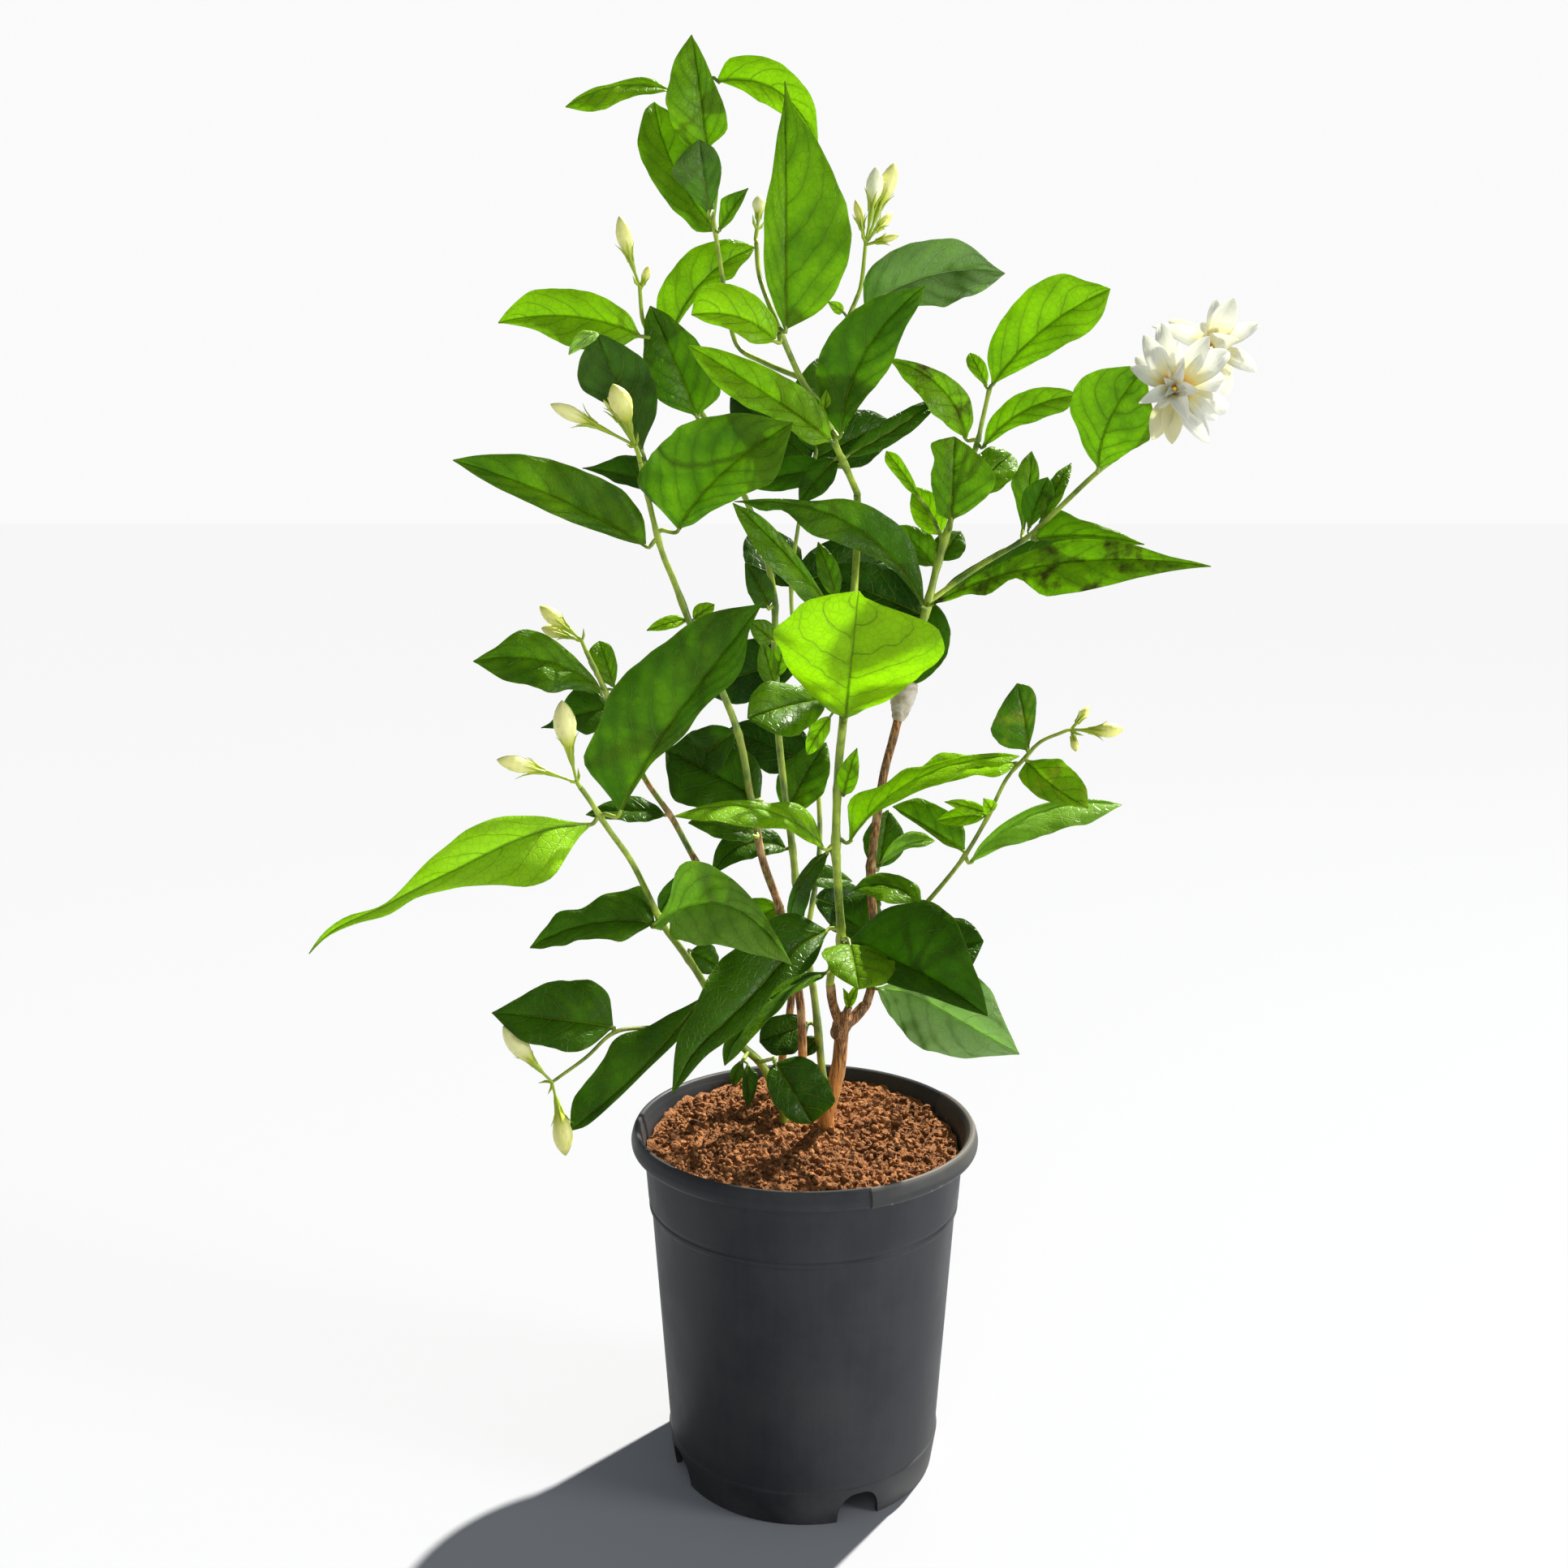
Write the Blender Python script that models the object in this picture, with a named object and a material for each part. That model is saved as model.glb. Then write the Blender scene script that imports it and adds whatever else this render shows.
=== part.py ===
"""Arabian jasmine in a six-inch nursery pot: pot, potting soil, woody trunk and canes, leafy shoots,
bud sprays and two double blooms. Metres, +Z up, origin on the ground under the middle of the pot."""

import math
import random

import bmesh
import bpy
from mathutils import Vector

for old in list(bpy.data.objects):
    bpy.data.objects.remove(old, do_unlink=True)

MM = 0.001
GAP = 0.3                  # running gap between touching pieces, mm

# Pot, millimetres
POT_SIDES = 24
RIM_R = 80.0               # widest point of the rolled lip, a 160 mm (six-inch) pot
CROWN_R = 78.0
POT_HEIGHT = 164.0
LIP_TALL = 9.4
NECK_R = 73.6
RING_Z = 131.0             # shallow ring a third of the way down the neck
RING_R = 72.0
SEAM_Z = 16.4              # where the floor meets the wall
SEAM_R = 63.6
FOOT_R = 61.0
WALL = 1.7
SKIRT_WALL = 2.4
FLOOR_UNDER_Z = 14.8
FLOOR_TOP_Z = 17.2
CENTRE_FOOT_R = 10.0
NOTCH_COUNT = 4
NOTCH_WIDE = 20.0
NOTCH_TALL = 14.0
NOTCH_AZIMUTH = 23.0       # degrees round from the front towards the right
DRAIN_R = 4.5
DRAIN_RING_R = 40.0

# Soil, millimetres
SOIL_TOP_Z = 153.0
SOIL_BANK = 5.5            # how much higher the soil lies at the back
SOIL_ROUGH = 1.4
ROOT_DEEP = 18.0           # how far each cane goes into the soil

# Leaves, millimetres
BLADE_THICK = 0.7
PETIOLE_R = 1.0

# The front view the positions below are read from: a pinhole camera in front of the pot.
VIEW_PX = 1932
VIEW_FOCAL_PX = 1967.0
VIEW_PITCH = math.radians(9.88)
VIEW_AT = Vector((-0.009, -0.700, 0.444))


def spot(px, py, back):
    """The point seen at (px, py) of the 1932 px front view, that lies `back` mm behind the pot's axis."""
    a = (px - VIEW_PX / 2) / VIEW_FOCAL_PX
    b = -(py - VIEW_PX / 2) / VIEW_FOCAL_PX
    cos, sin = math.cos(VIEW_PITCH), math.sin(VIEW_PITCH)
    depth = (back * MM - VIEW_AT.y) / (cos + b * sin)
    return Vector((VIEW_AT.x + depth * a, back * MM, VIEW_AT.z + depth * (b * cos - sin)))


def material(name, colour, roughness, metallic=0.0):
    made = bpy.data.materials.new(name)
    made.use_nodes = True
    shader = made.node_tree.nodes["Principled BSDF"]
    shader.inputs["Base Color"].default_value = (*colour, 1.0)
    shader.inputs["Roughness"].default_value = roughness
    shader.inputs["Metallic"].default_value = metallic
    made.diffuse_color = (*colour, 1.0)
    return made


def mesh_object(name, points, faces, colour=(0.1, 0.3, 0.05), roughness=0.5):
    mesh = bpy.data.meshes.new(name)
    mesh.from_pydata([tuple(p) for p in points], [], faces)
    mesh.validate()
    obj = bpy.data.objects.new(name, mesh)
    bpy.context.scene.collection.objects.link(obj)
    mesh.materials.append(material(name, colour, roughness))
    return obj


def smooth_path(points, step):
    """A smooth curve through the points, as points about `step` metres apart."""
    ends = [points[0] * 2 - points[1]] + list(points) + [points[-1] * 2 - points[-2]]
    made = [points[0].copy()]
    for i in range(1, len(ends) - 2):
        p0, p1, p2, p3 = ends[i - 1:i + 3]
        count = max(1, round((p2 - p1).length / step))
        for k in range(1, count + 1):
            t = k / count
            made.append(0.5 * ((2 * p1) + (p2 - p0) * t + (2 * p0 - 5 * p1 + 4 * p2 - p3) * t * t
                               + (3 * p1 - p0 - 3 * p2 + p3) * t ** 3))
    return made


def trimmed(path, away):
    """The path without its first `away` metres."""
    left = away
    for i in range(len(path) - 1):
        long = (path[i + 1] - path[i]).length
        if long > left + 1e-6:
            return [path[i].lerp(path[i + 1], left / long)] + path[i + 1:]
        left -= long
    return path[-2:]


def tube(path, radii, sides):
    """A closed tube of flat facets along the path: its points and faces."""
    points, faces = [], []
    tangent = (path[1] - path[0]).normalized()
    across = tangent.orthogonal().normalized()
    for i, p in enumerate(path):
        ahead = path[min(i + 1, len(path) - 1)] - path[max(i - 1, 0)]
        tangent = ahead.normalized()
        across = (across - tangent * across.dot(tangent)).normalized()
        beside = tangent.cross(across)
        for k in range(sides):
            turn = 2 * math.pi * k / sides
            points.append(p + (across * math.cos(turn) + beside * math.sin(turn)) * radii[i])
    for i in range(len(path) - 1):
        for k in range(sides):
            a, b = i * sides + k, i * sides + (k + 1) % sides
            faces.append((a, b, b + sides, a + sides))
    faces.append(tuple(reversed(range(sides))))
    last = (len(path) - 1) * sides
    faces.append(tuple(range(last, last + sides)))
    return points, faces


def share(value_pair, i, count):
    return value_pair[0] + (value_pair[1] - value_pair[0]) * i / max(1, count - 1)


def cane_tube(path, thick, sides):
    radii = [share(thick, i, len(path)) / 2 * MM for i in range(len(path))]
    return tube(path, radii, sides)


def leaf(start, end, wide, turn=0.0, arch=0.06, fold=12.0, bend=0.0, sway=0.0, belly=0.42, taper=0.68, root=None):
    """One leaf: its blade runs from spot `start` to spot `end` and is `wide` mm at its widest, which is
    `belly` of the way along. `turn` is how many degrees its face turns up from facing the front, `arch`
    bows its midrib out of its own plane, `bend` and `sway` bow it once and twice within it, and `fold`
    lifts its two halves. A higher `taper` draws its ends out. Its stalk leaves the stem near `root`."""
    return dict(start=start, end=end, wide=wide, turn=turn, arch=arch, fold=fold, bend=bend, sway=sway,
                belly=belly, taper=taper, root=root or start)


def leaf_frame(row):
    start, end = spot(*row["start"]), spot(*row["end"])
    long = (end - start).length
    axis = (end - start) / long
    facing = VIEW_AT - (start + end) / 2
    facing = (facing - axis * facing.dot(axis)).normalized()
    side = axis.cross(facing)
    upward = side if (side.z > 0.2 or (abs(side.z) <= 0.2 and side.x > 0)) else -side
    turn = math.radians(row["turn"])
    normal = facing * math.cos(turn) + upward * math.sin(turn)
    return start, axis, long, normal, side


def leaf_middle(row, frame, t):
    start, axis, long, normal, side = frame
    sideways = row["bend"] * 4 * t * (1 - t) + row["sway"] * math.sin(2 * math.pi * t)
    return start + axis * (t * long) + normal * (row["arch"] * 4 * t * (1 - t) * long) + side * (sideways * long)


def leaf_half_width(row, t):
    belly, a = row["belly"], row["taper"]
    b = a * (1 - belly) / belly
    shape = (t / belly) ** a * ((1 - t) / (1 - belly)) ** b if 0 < t < 1 else 0.0
    return row["wide"] * MM / 2 * shape


def blade(row, root):
    """The closed blade of a leaf with its stalk from `root`: points and triangles, alike on its two faces."""
    frame = leaf_frame(row)
    long = frame[2]
    stops = (0.0, 0.25, 0.6, 1.0)
    if long > 0.030:
        stops = (0.0, 0.14, 0.36, 0.6, 0.82, 1.0) if long > 0.050 else (0.0, 0.18, 0.45, 0.75, 1.0)
    fold = math.tan(math.radians(row["fold"]))
    half = BLADE_THICK * MM / 2
    stalk_half = PETIOLE_R * MM * (0.75 if long < 0.025 else 1.0)
    top, under, rows = [], [], []
    reach = frame[0] - root
    if reach.length > 0.0012:
        out = reach.normalized()
        across = out.cross(frame[3]).normalized()
        normal = across.cross(out)
        rows.append((root, across, normal, stalk_half, stalk_half, 0.0))
    for t in stops:
        middle = leaf_middle(row, frame, t) if t or not rows else frame[0]
        tangent = leaf_middle(row, frame, min(1, t + 0.02)) - leaf_middle(row, frame, max(0, t - 0.02))
        tangent.normalize()
        if t == 0.0 and rows:
            tangent = (tangent + out).normalized()
        across = tangent.cross(frame[3]).normalized()
        normal = across.cross(tangent)
        wide = max(leaf_half_width(row, t), stalk_half)
        rows.append((middle, across, normal, wide, stalk_half * 0.8 if t == 0.0 else half, fold if t else 0.0))
    if reach.length <= 0.0012:
        rows[0] = (root - (rows[1][0] - rows[0][0]).normalized() * 0.0004,) + rows[0][1:]
    for n, (middle, across, normal, wide, thick, lift) in enumerate(rows):
        ring = [middle] if n == len(rows) - 1 else [
            middle - across * wide + normal * (lift * wide), middle,
            middle + across * wide + normal * (lift * wide)]
        for p in ring:
            top.append(p + normal * thick)
            under.append(p - normal * thick)
    count, last = len(top), len(rows) - 1
    face = []
    for n in range(last - 1):
        a = 3 * n
        face += [(a, a + 1, a + 4), (a, a + 4, a + 3), (a + 1, a + 2, a + 4), (a + 2, a + 5, a + 4)]
    a = 3 * (last - 1)
    face += [(a, a + 1, a + 3), (a + 1, a + 2, a + 3)]
    rim = [3 * n for n in range(last)] + [count - 1] + [3 * n + 2 for n in reversed(range(last))] + [1, 0]
    every = face + [tuple(i + count for i in reversed(f)) for f in face]
    for a, b in zip(rim, rim[1:]):
        every += [(a, b, b + count), (a, b + count, a + count)]
    return top + under, every


def outward(obj):
    made = bmesh.new()
    made.from_mesh(obj.data)
    if made.calc_volume(signed=True) < 0:
        bmesh.ops.reverse_faces(made, faces=made.faces)
    made.to_mesh(obj.data)
    made.free()


def apply_modifiers(obj):
    seen = bpy.context.evaluated_depsgraph_get()
    seen.update()
    mesh = bpy.data.meshes.new_from_object(obj.evaluated_get(seen))
    obj.modifiers.clear()
    old = obj.data
    obj.data = mesh
    bpy.data.meshes.remove(old)


def joined(obj, pieces, solver="EXACT"):
    """Joins the pieces to the object as one body, and removes them."""
    if not pieces:
        return obj
    group = bpy.data.collections.new(obj.name + "_pieces")
    bpy.context.scene.collection.children.link(group)
    for piece in pieces:
        outward(piece)
        group.objects.link(piece)
        bpy.context.scene.collection.objects.unlink(piece)
    outward(obj)
    union = obj.modifiers.new("Join", "BOOLEAN")
    union.operation = "UNION"
    union.operand_type = "COLLECTION"
    union.collection = group
    union.solver = solver
    apply_modifiers(obj)
    for piece in pieces:
        bpy.data.objects.remove(piece, do_unlink=True)
    bpy.data.collections.remove(group)
    return obj


def cut(obj, cutters):
    """Cuts each cutter from the object, and removes them."""
    for cutter in cutters:
        outward(cutter)
        cutter.hide_render = True
        cutter.display_type = "WIRE"
        bite = obj.modifiers.new("Cut", "BOOLEAN")
        bite.operation = "DIFFERENCE"
        bite.object = cutter
        bite.solver = "EXACT"
    apply_modifiers(obj)
    for cutter in cutters:
        bpy.data.objects.remove(cutter, do_unlink=True)


def nearest(path, p):
    """The point of the path nearest to p, the path's direction there and how far along it lies, 0 to 1."""
    best = None
    for i in range(len(path) - 1):
        a, b = path[i], path[i + 1]
        t = max(0.0, min(1.0, (p - a).dot(b - a) / (b - a).length_squared))
        q = a.lerp(b, t)
        if best is None or (p - q).length < best[0]:
            best = ((p - q).length, q, (b - a).normalized(), (i + t) / (len(path) - 1))
    return best[1:]


def turned(name, profile, sides, colour, roughness):
    """A round solid turned about the pot's axis from (radius, height) pairs in mm; radius 0 closes on the axis."""
    points, faces, rings = [], [], []
    for r, z in profile:
        if r == 0:
            rings.append([len(points)])
            points.append(Vector((0, 0, z * MM)))
            continue
        rings.append(list(range(len(points), len(points) + sides)))
        for k in range(sides):
            turn = 2 * math.pi * k / sides
            points.append(Vector((r * math.cos(turn) * MM, r * math.sin(turn) * MM, z * MM)))
    for low, high in zip(rings, rings[1:]):
        for k in range(sides):
            j = (k + 1) % sides
            if len(low) == 1:
                faces.append((low[0], high[j], high[k]))
            elif len(high) == 1:
                faces.append((low[k], low[j], high[0]))
            else:
                faces.append((low[k], low[j], high[j], high[k]))
    return mesh_object(name, points, faces, colour, roughness)


# The pot: a thin blow-moulded wall with a rolled lip, a skirt under the raised floor with four arched
# drain notches, four drain holes in the floor and a small foot under its middle.
CHARCOAL = (0.035, 0.038, 0.042)
inner_seam = SEAM_R - WALL - 0.6
pot = turned("pot", [
    (0, 0), (CENTRE_FOOT_R, 0), (CENTRE_FOOT_R + 1.5, FLOOR_UNDER_Z), (SEAM_R - SKIRT_WALL - 0.6, FLOOR_UNDER_Z),
    (FOOT_R - SKIRT_WALL, 0), (FOOT_R, 0), (SEAM_R, SEAM_Z), (SEAM_R - 0.7, SEAM_Z + 0.8),
    (RING_R - 1.4, RING_Z - 5.0), (RING_R - 0.6, RING_Z - 3.8), (RING_R, RING_Z),
    (NECK_R, POT_HEIGHT - LIP_TALL), (RIM_R - 1.0, POT_HEIGHT - LIP_TALL + 0.2), (RIM_R, POT_HEIGHT - 6.0),
    (RIM_R - 0.7, POT_HEIGHT - 2.2), (CROWN_R, POT_HEIGHT), (CROWN_R - 1.6, POT_HEIGHT - 0.6),
    (NECK_R - WALL + 1.2, POT_HEIGHT - LIP_TALL + 1.0), (RING_R - WALL, RING_Z - 1.0), (inner_seam, FLOOR_TOP_Z),
    (0, FLOOR_TOP_Z)], POT_SIDES, CHARCOAL, 0.45)
outward(pot)
cutters = []
for n in range(NOTCH_COUNT):
    azimuth = math.radians(-90 + NOTCH_AZIMUTH + 360 / NOTCH_COUNT * n)
    out = Vector((math.cos(azimuth), math.sin(azimuth), 0))
    beside = Vector((-out.y, out.x, 0))
    arch = [(-NOTCH_WIDE / 2, -2.0), (NOTCH_WIDE / 2, -2.0)]
    arch += [(NOTCH_WIDE / 2 * math.cos(a) ** 0.8, NOTCH_TALL * math.sin(a) ** 0.8)
             for a in (0.1, 0.5, 0.9, 1.3)]
    arch += [(-x, z) for x, z in reversed(arch[2:])]
    points = [out * (r * MM) + beside * (x * MM) + Vector((0, 0, z * MM)) for r in (50.0, 66.0) for x, z in arch]
    size = len(arch)
    faces = [tuple(reversed(range(size))), tuple(range(size, 2 * size))]
    faces += [(i, (i + 1) % size, (i + 1) % size + size, i + size) for i in range(size)]
    cutters.append(mesh_object("notch_%d" % n, points, faces))
    centre = out * (DRAIN_RING_R * MM)
    hole = tube([centre + Vector((0, 0, 10 * MM)), centre + Vector((0, 0, 22 * MM))], [DRAIN_R * MM] * 2, 10)
    cutters.append(mesh_object("drain_%d" % n, *hole))
cut(pot, cutters)

# The canes that stand in the soil: (x, y) of each root in mm, and the diameter there.
ROOTS = {
    "trunk": ((11.0, 18.0), 8.4),
    "left_cane": ((0.0, 36.0), 4.4),
    "low_cane": ((-9.0, 20.0), 4.2),
    "back_cane": ((12.0, 44.0), 3.8),
    "rear_cane": ((-12.0, 54.0), 4.0),
}

# The potting soil: fills the pot, lumpy on top and banked up at the back, with a hole for each cane.
random.seed(7)
SIDE_Z = SOIL_TOP_Z - 4.0
SIDE_R = RING_R - WALL + 0.75
profile = [(0, FLOOR_TOP_Z + GAP), (inner_seam - 0.35, FLOOR_TOP_Z + GAP), (RING_R - WALL - 0.5, RING_Z - 1.0),
           (SIDE_R, SIDE_Z), (71.3, SOIL_TOP_Z), (54.0, SOIL_TOP_Z), (36.0, SOIL_TOP_Z), (18.0, SOIL_TOP_Z), (0, SOIL_TOP_Z)]
soil = turned("soil", profile, POT_SIDES, (0.16, 0.07, 0.04), 0.95)
for vertex in soil.data.vertices:
    if vertex.co.z < (SOIL_TOP_Z - 1.0) * MM:
        continue
    flat = vertex.co.xy
    back = max(0.0, min(1.0, (flat.y / MM + 8.0) / 78.0))
    rise = SOIL_BANK * back * back * (3 - 2 * back) - 1.4 * max(0.0, flat.x / 0.072)
    rise += random.uniform(-SOIL_ROUGH, SOIL_ROUGH) * (0.5 if flat.length > 0.070 else 1.0)
    vertex.co.z += rise * MM
    if flat.length > 0.070:
        reach = (SIDE_R + 0.26 * (vertex.co.z / MM - SIDE_Z)) * MM / flat.length
        vertex.co.x, vertex.co.y = flat.x * reach, flat.y * reach
outward(soil)
holes = []
for name, ((x, y), wide) in ROOTS.items():
    foot = Vector((x, y, SOIL_TOP_Z - ROOT_DEEP - GAP)) * MM
    hole = tube([foot, foot + Vector((0, 0, 40 * MM))], [(wide / 2 + GAP) * MM] * 2, 10)
    holes.append(mesh_object("hole_" + name, *hole))
cut(soil, holes)

# Colours read from the photograph
BARK = (0.20, 0.085, 0.035)
GREEN_CANE = (0.16, 0.26, 0.04)
LEAF_LIGHT = (0.16, 0.38, 0.02)
LEAF_DEEP = (0.05, 0.17, 0.02)
CREAM = (0.85, 0.83, 0.55)
WHITE = (0.93, 0.93, 0.90)

AXES = {}                  # the middle line and the diameters of each stem, for what grows from it


def stem_path(name, path, thick, on=None, after=None, step=0.030):
    """The middle line of a stem. It starts in the soil, on the side of another stem, or after its end."""
    points = [spot(*p) for p in path]
    if name in ROOTS:
        (x, y), wide = ROOTS[name]
        foot = Vector((x, y, SOIL_TOP_Z - ROOT_DEEP)) * MM
        line = smooth_path([foot + Vector((0, 0, (ROOT_DEEP + 7) * MM))] + points, step)
        line = [foot] + line
    elif on:
        parent, widths = AXES[on]
        start, direction, along = nearest(parent, points[0])
        line = smooth_path([start] + points[1:], step)
        out = (line[1] - line[0]).normalized()
        cosine = abs(out.dot(direction))
        sine = max(0.35, math.sqrt(1 - cosine * cosine))
        wide = widths[0] + (widths[1] - widths[0]) * along
        AXES[name] = (line, thick)
        return trimmed(line, (wide / 2 + GAP + thick[0] / 2 * cosine) / sine * MM + 0.0001)
    elif after:
        parent, widths = AXES[after]
        ahead = (parent[-1] - parent[-2]).normalized() * (min(3.0, 0.6 * widths[1]) * MM)
        line = smooth_path([parent[-1], parent[-1] + ahead] + points, step)
        AXES[name] = (line, thick)
        return trimmed(line, GAP * MM)
    else:
        line = smooth_path(points, step)
    AXES[name] = (line, thick)
    return line


def stem(name, path, thick, colour, leaves=(), on=None, after=None, sides=6, more=(), step=0.030, solver="EXACT"):
    """A stem with the leaves that grow from it, as one body."""
    line = stem_path(name, path, thick, on, after, step)
    obj = mesh_object(name, *cane_tube(line, thick, sides), colour, 0.5)
    pieces = list(more)
    for n, row in enumerate(leaves):
        root = nearest(line, spot(*row["root"]))[0]
        pieces.append(mesh_object("blade_%d" % n, *blade(row, root)))
    return joined(obj, pieces, solver)


def bud(base, tip, fat):
    """A bud on its stalk: calyx, thin tube and fat pointed bud, as rings along a straight middle line."""
    a, b = spot(*base), spot(*tip)
    stops = ((0.0, 0.7), (0.22, 1.5), (0.45, 0.24 * fat), (0.76, 0.5 * fat), (1.0, 0.4))
    path = [a.lerp(b, t) for t, r in stops]
    return tube(path, [r * MM for t, r in stops], 5)


def spray(name, stalk, thick, buds, on=None, after=None, colour=CREAM):
    """A spray of buds: a stalk with the buds that fork from its top, as one body."""
    line = stem_path(name, stalk, thick, on, after, 0.02)
    obj = mesh_object(name, *cane_tube(line, thick, 5), colour, 0.5)
    pieces = [mesh_object("bud_%d" % n, *bud(*row)) for n, row in enumerate(buds)]
    return joined(obj, pieces)


# Woody trunk: one stem from the soil that forks at a knobbly joint into two short branches.
trunk_line = stem_path("trunk", [(1032, 1320, 17), (1036, 1286, 16), (1037, 1264, 15)], (8.4, 6.5))
trunk = mesh_object("trunk", *cane_tube(trunk_line, (8.4, 6.5), 8), BARK, 0.8)
left_fork = smooth_path([trunk_line[-1], spot(1027, 1240, 12), spot(1023, 1212, 8)], 0.02)
right_fork = smooth_path([trunk_line[-1], spot(1052, 1254, 17), spot(1066, 1238, 20)], 0.02)
stub = [trunk_line[-1], spot(1046, 1240, 10)]
AXES["left_fork"] = (left_fork, (4.8, 4.2))
AXES["right_fork"] = (right_fork, (6.2, 5.2))
knob = bmesh.new()
bmesh.ops.create_icosphere(knob, subdivisions=1, radius=4.6 * MM)
bmesh.ops.translate(knob, verts=knob.verts, vec=trunk_line[-1])
knob_mesh = bpy.data.meshes.new("knob")
knob.to_mesh(knob_mesh)
knob.free()
knob_piece = bpy.data.objects.new("knob", knob_mesh)
bpy.context.scene.collection.objects.link(knob_piece)
joined(trunk, [mesh_object("left", *cane_tube(left_fork, (4.8, 4.2), 7)),
               mesh_object("right", *cane_tube(right_fork, (6.2, 5.2), 7)),
               mesh_object("stub", *cane_tube(stub, (4.6, 3.4), 6)), knob_piece])

# Front cane: green, from the trunk's left fork to the knot where the big bright leaf stands.
stem("front_cane", [(1027, 1185, 3), (1036, 1160, -4), (1033, 1100, -15), (1030, 1040, -22), (1033, 950, -30),
                    (1038, 897, -34)],
     (3.8, 3.6), GREEN_CANE, after="left_fork", leaves=[
    leaf((1040, 1163, -8), (1217, 1252, -62), 50, turn=12, fold=22, bend=-0.14, belly=0.40),
    leaf((1019, 1147, -10), (828, 1348, -70), 40, turn=8, fold=14, bend=0.05, belly=0.38),
    leaf((1040, 1172, -14), (1102, 1219, -42), 23, turn=24, fold=8, belly=0.45, root=(1036, 1158, -4)),
    leaf((1018, 1198, -2), (893, 1313, -30), 26, turn=62, fold=10, belly=0.5, root=(1026, 1186, 3)),
    leaf((1015, 1045, -24), (830, 1006, -46), 25, turn=48, fold=16, bend=0.10),
    leaf((1047, 1036, -24), (1256, 932, -52), 29, turn=44, fold=14, bend=-0.08, belly=0.28, taper=0.5),
    leaf((1020, 1050, -14), (975, 1140, 6), 13, turn=30, fold=10, bend=0.06),
    leaf((1040, 978, -30), (1056, 922, -44), 9, turn=10),
])

# Middle of the same cane, behind the big bright leaf, up to the fork under the crown.
stem("middle_cane", [(1042, 855, -20), (1047, 800, 0), (1053, 720, 26), (1057, 640, 33), (1056, 610, 30)],
     (3.6, 3.2), GREEN_CANE, after="front_cane", leaves=[
    leaf((1042, 884, -38), (1058, 728, -78), 72, turn=0, fold=8, arch=0.10, belly=0.73, taper=1.0, root=(1042, 872, -28)),
    leaf((1018, 862, -32), (921, 885, -62), 30, turn=25, fold=18, belly=0.5),
    leaf((1022, 884, -14), (995, 930, -6), 9, turn=20, root=(1044, 846, -16)),
    leaf((1033, 765, 4), (903, 620, -30), 28, turn=25, fold=14),
    leaf((1030, 735, 24), (1008, 668, 28), 10, turn=10),
])

# Top of the cane: bare green stem that carries the crown's biggest leaves.
stem("top_cane", [(1045, 582, 20), (1029, 547, 6), (1015, 505, 0), (990, 472, -6), (968, 425, -14), (953, 388, -16),
                  (936, 340, -6), (932, 300, 0)],
     (3.2, 2.0), GREEN_CANE, after="middle_cane", leaves=[
    leaf((1024, 543, -2), (847, 425, -24), 29, turn=14, fold=12),
    leaf((1036, 535, -2), (1140, 352, -26), 35, turn=8, fold=12, bend=-0.10),
    leaf((1044, 562, 14), (1160, 488, 32), 11, turn=15, fold=10, bend=0.04),
    leaf((1030, 566, 16), (985, 620, 20), 14, turn=20),
    leaf((1018, 576, 22), (918, 598, 30), 15, turn=15, root=(1042, 576, 17)),
    leaf((968, 405, -20), (967, 100, -34), 37, turn=4, fold=10, bend=0.09, belly=0.36, taper=0.75),
    leaf((955, 420, -22), (852, 388, -34), 22, turn=20, fold=12, bend=0.10),
    leaf((1014, 515, -2), (1018, 480, -12), 6, turn=10),
])

# Crown shoot, top left: five leaves round its tip.
stem("crown_shoot", [(985, 465, -6), (940, 446, 12), (908, 425, 20), (895, 370, 22), (884, 302, 20), (878, 262, 18),
                     (875, 205, 18), (868, 120, 18)],
     (2.4, 1.5), GREEN_CANE, on="top_cane", sides=5, leaves=[
    leaf((872, 172, 14), (852, 43, 4), 27, turn=8, fold=14, belly=0.35, taper=0.5),
    leaf((880, 284, 24), (806, 126, 38), 29, turn=12, fold=14, bend=-0.08, belly=0.45),
    leaf((826, 112, 16), (697, 132, 6), 19, turn=60, fold=14, bend=-0.04),
    leaf((884, 100, 20), (1008, 182, 14), 19, turn=10, fold=12, bend=-0.18, belly=0.5),
    leaf((881, 262, 14), (862, 172, 4), 17, turn=10, fold=10, belly=0.55),
    leaf((886, 284, 16), (922, 232, 6), 10, turn=15, fold=10),
])

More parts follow.
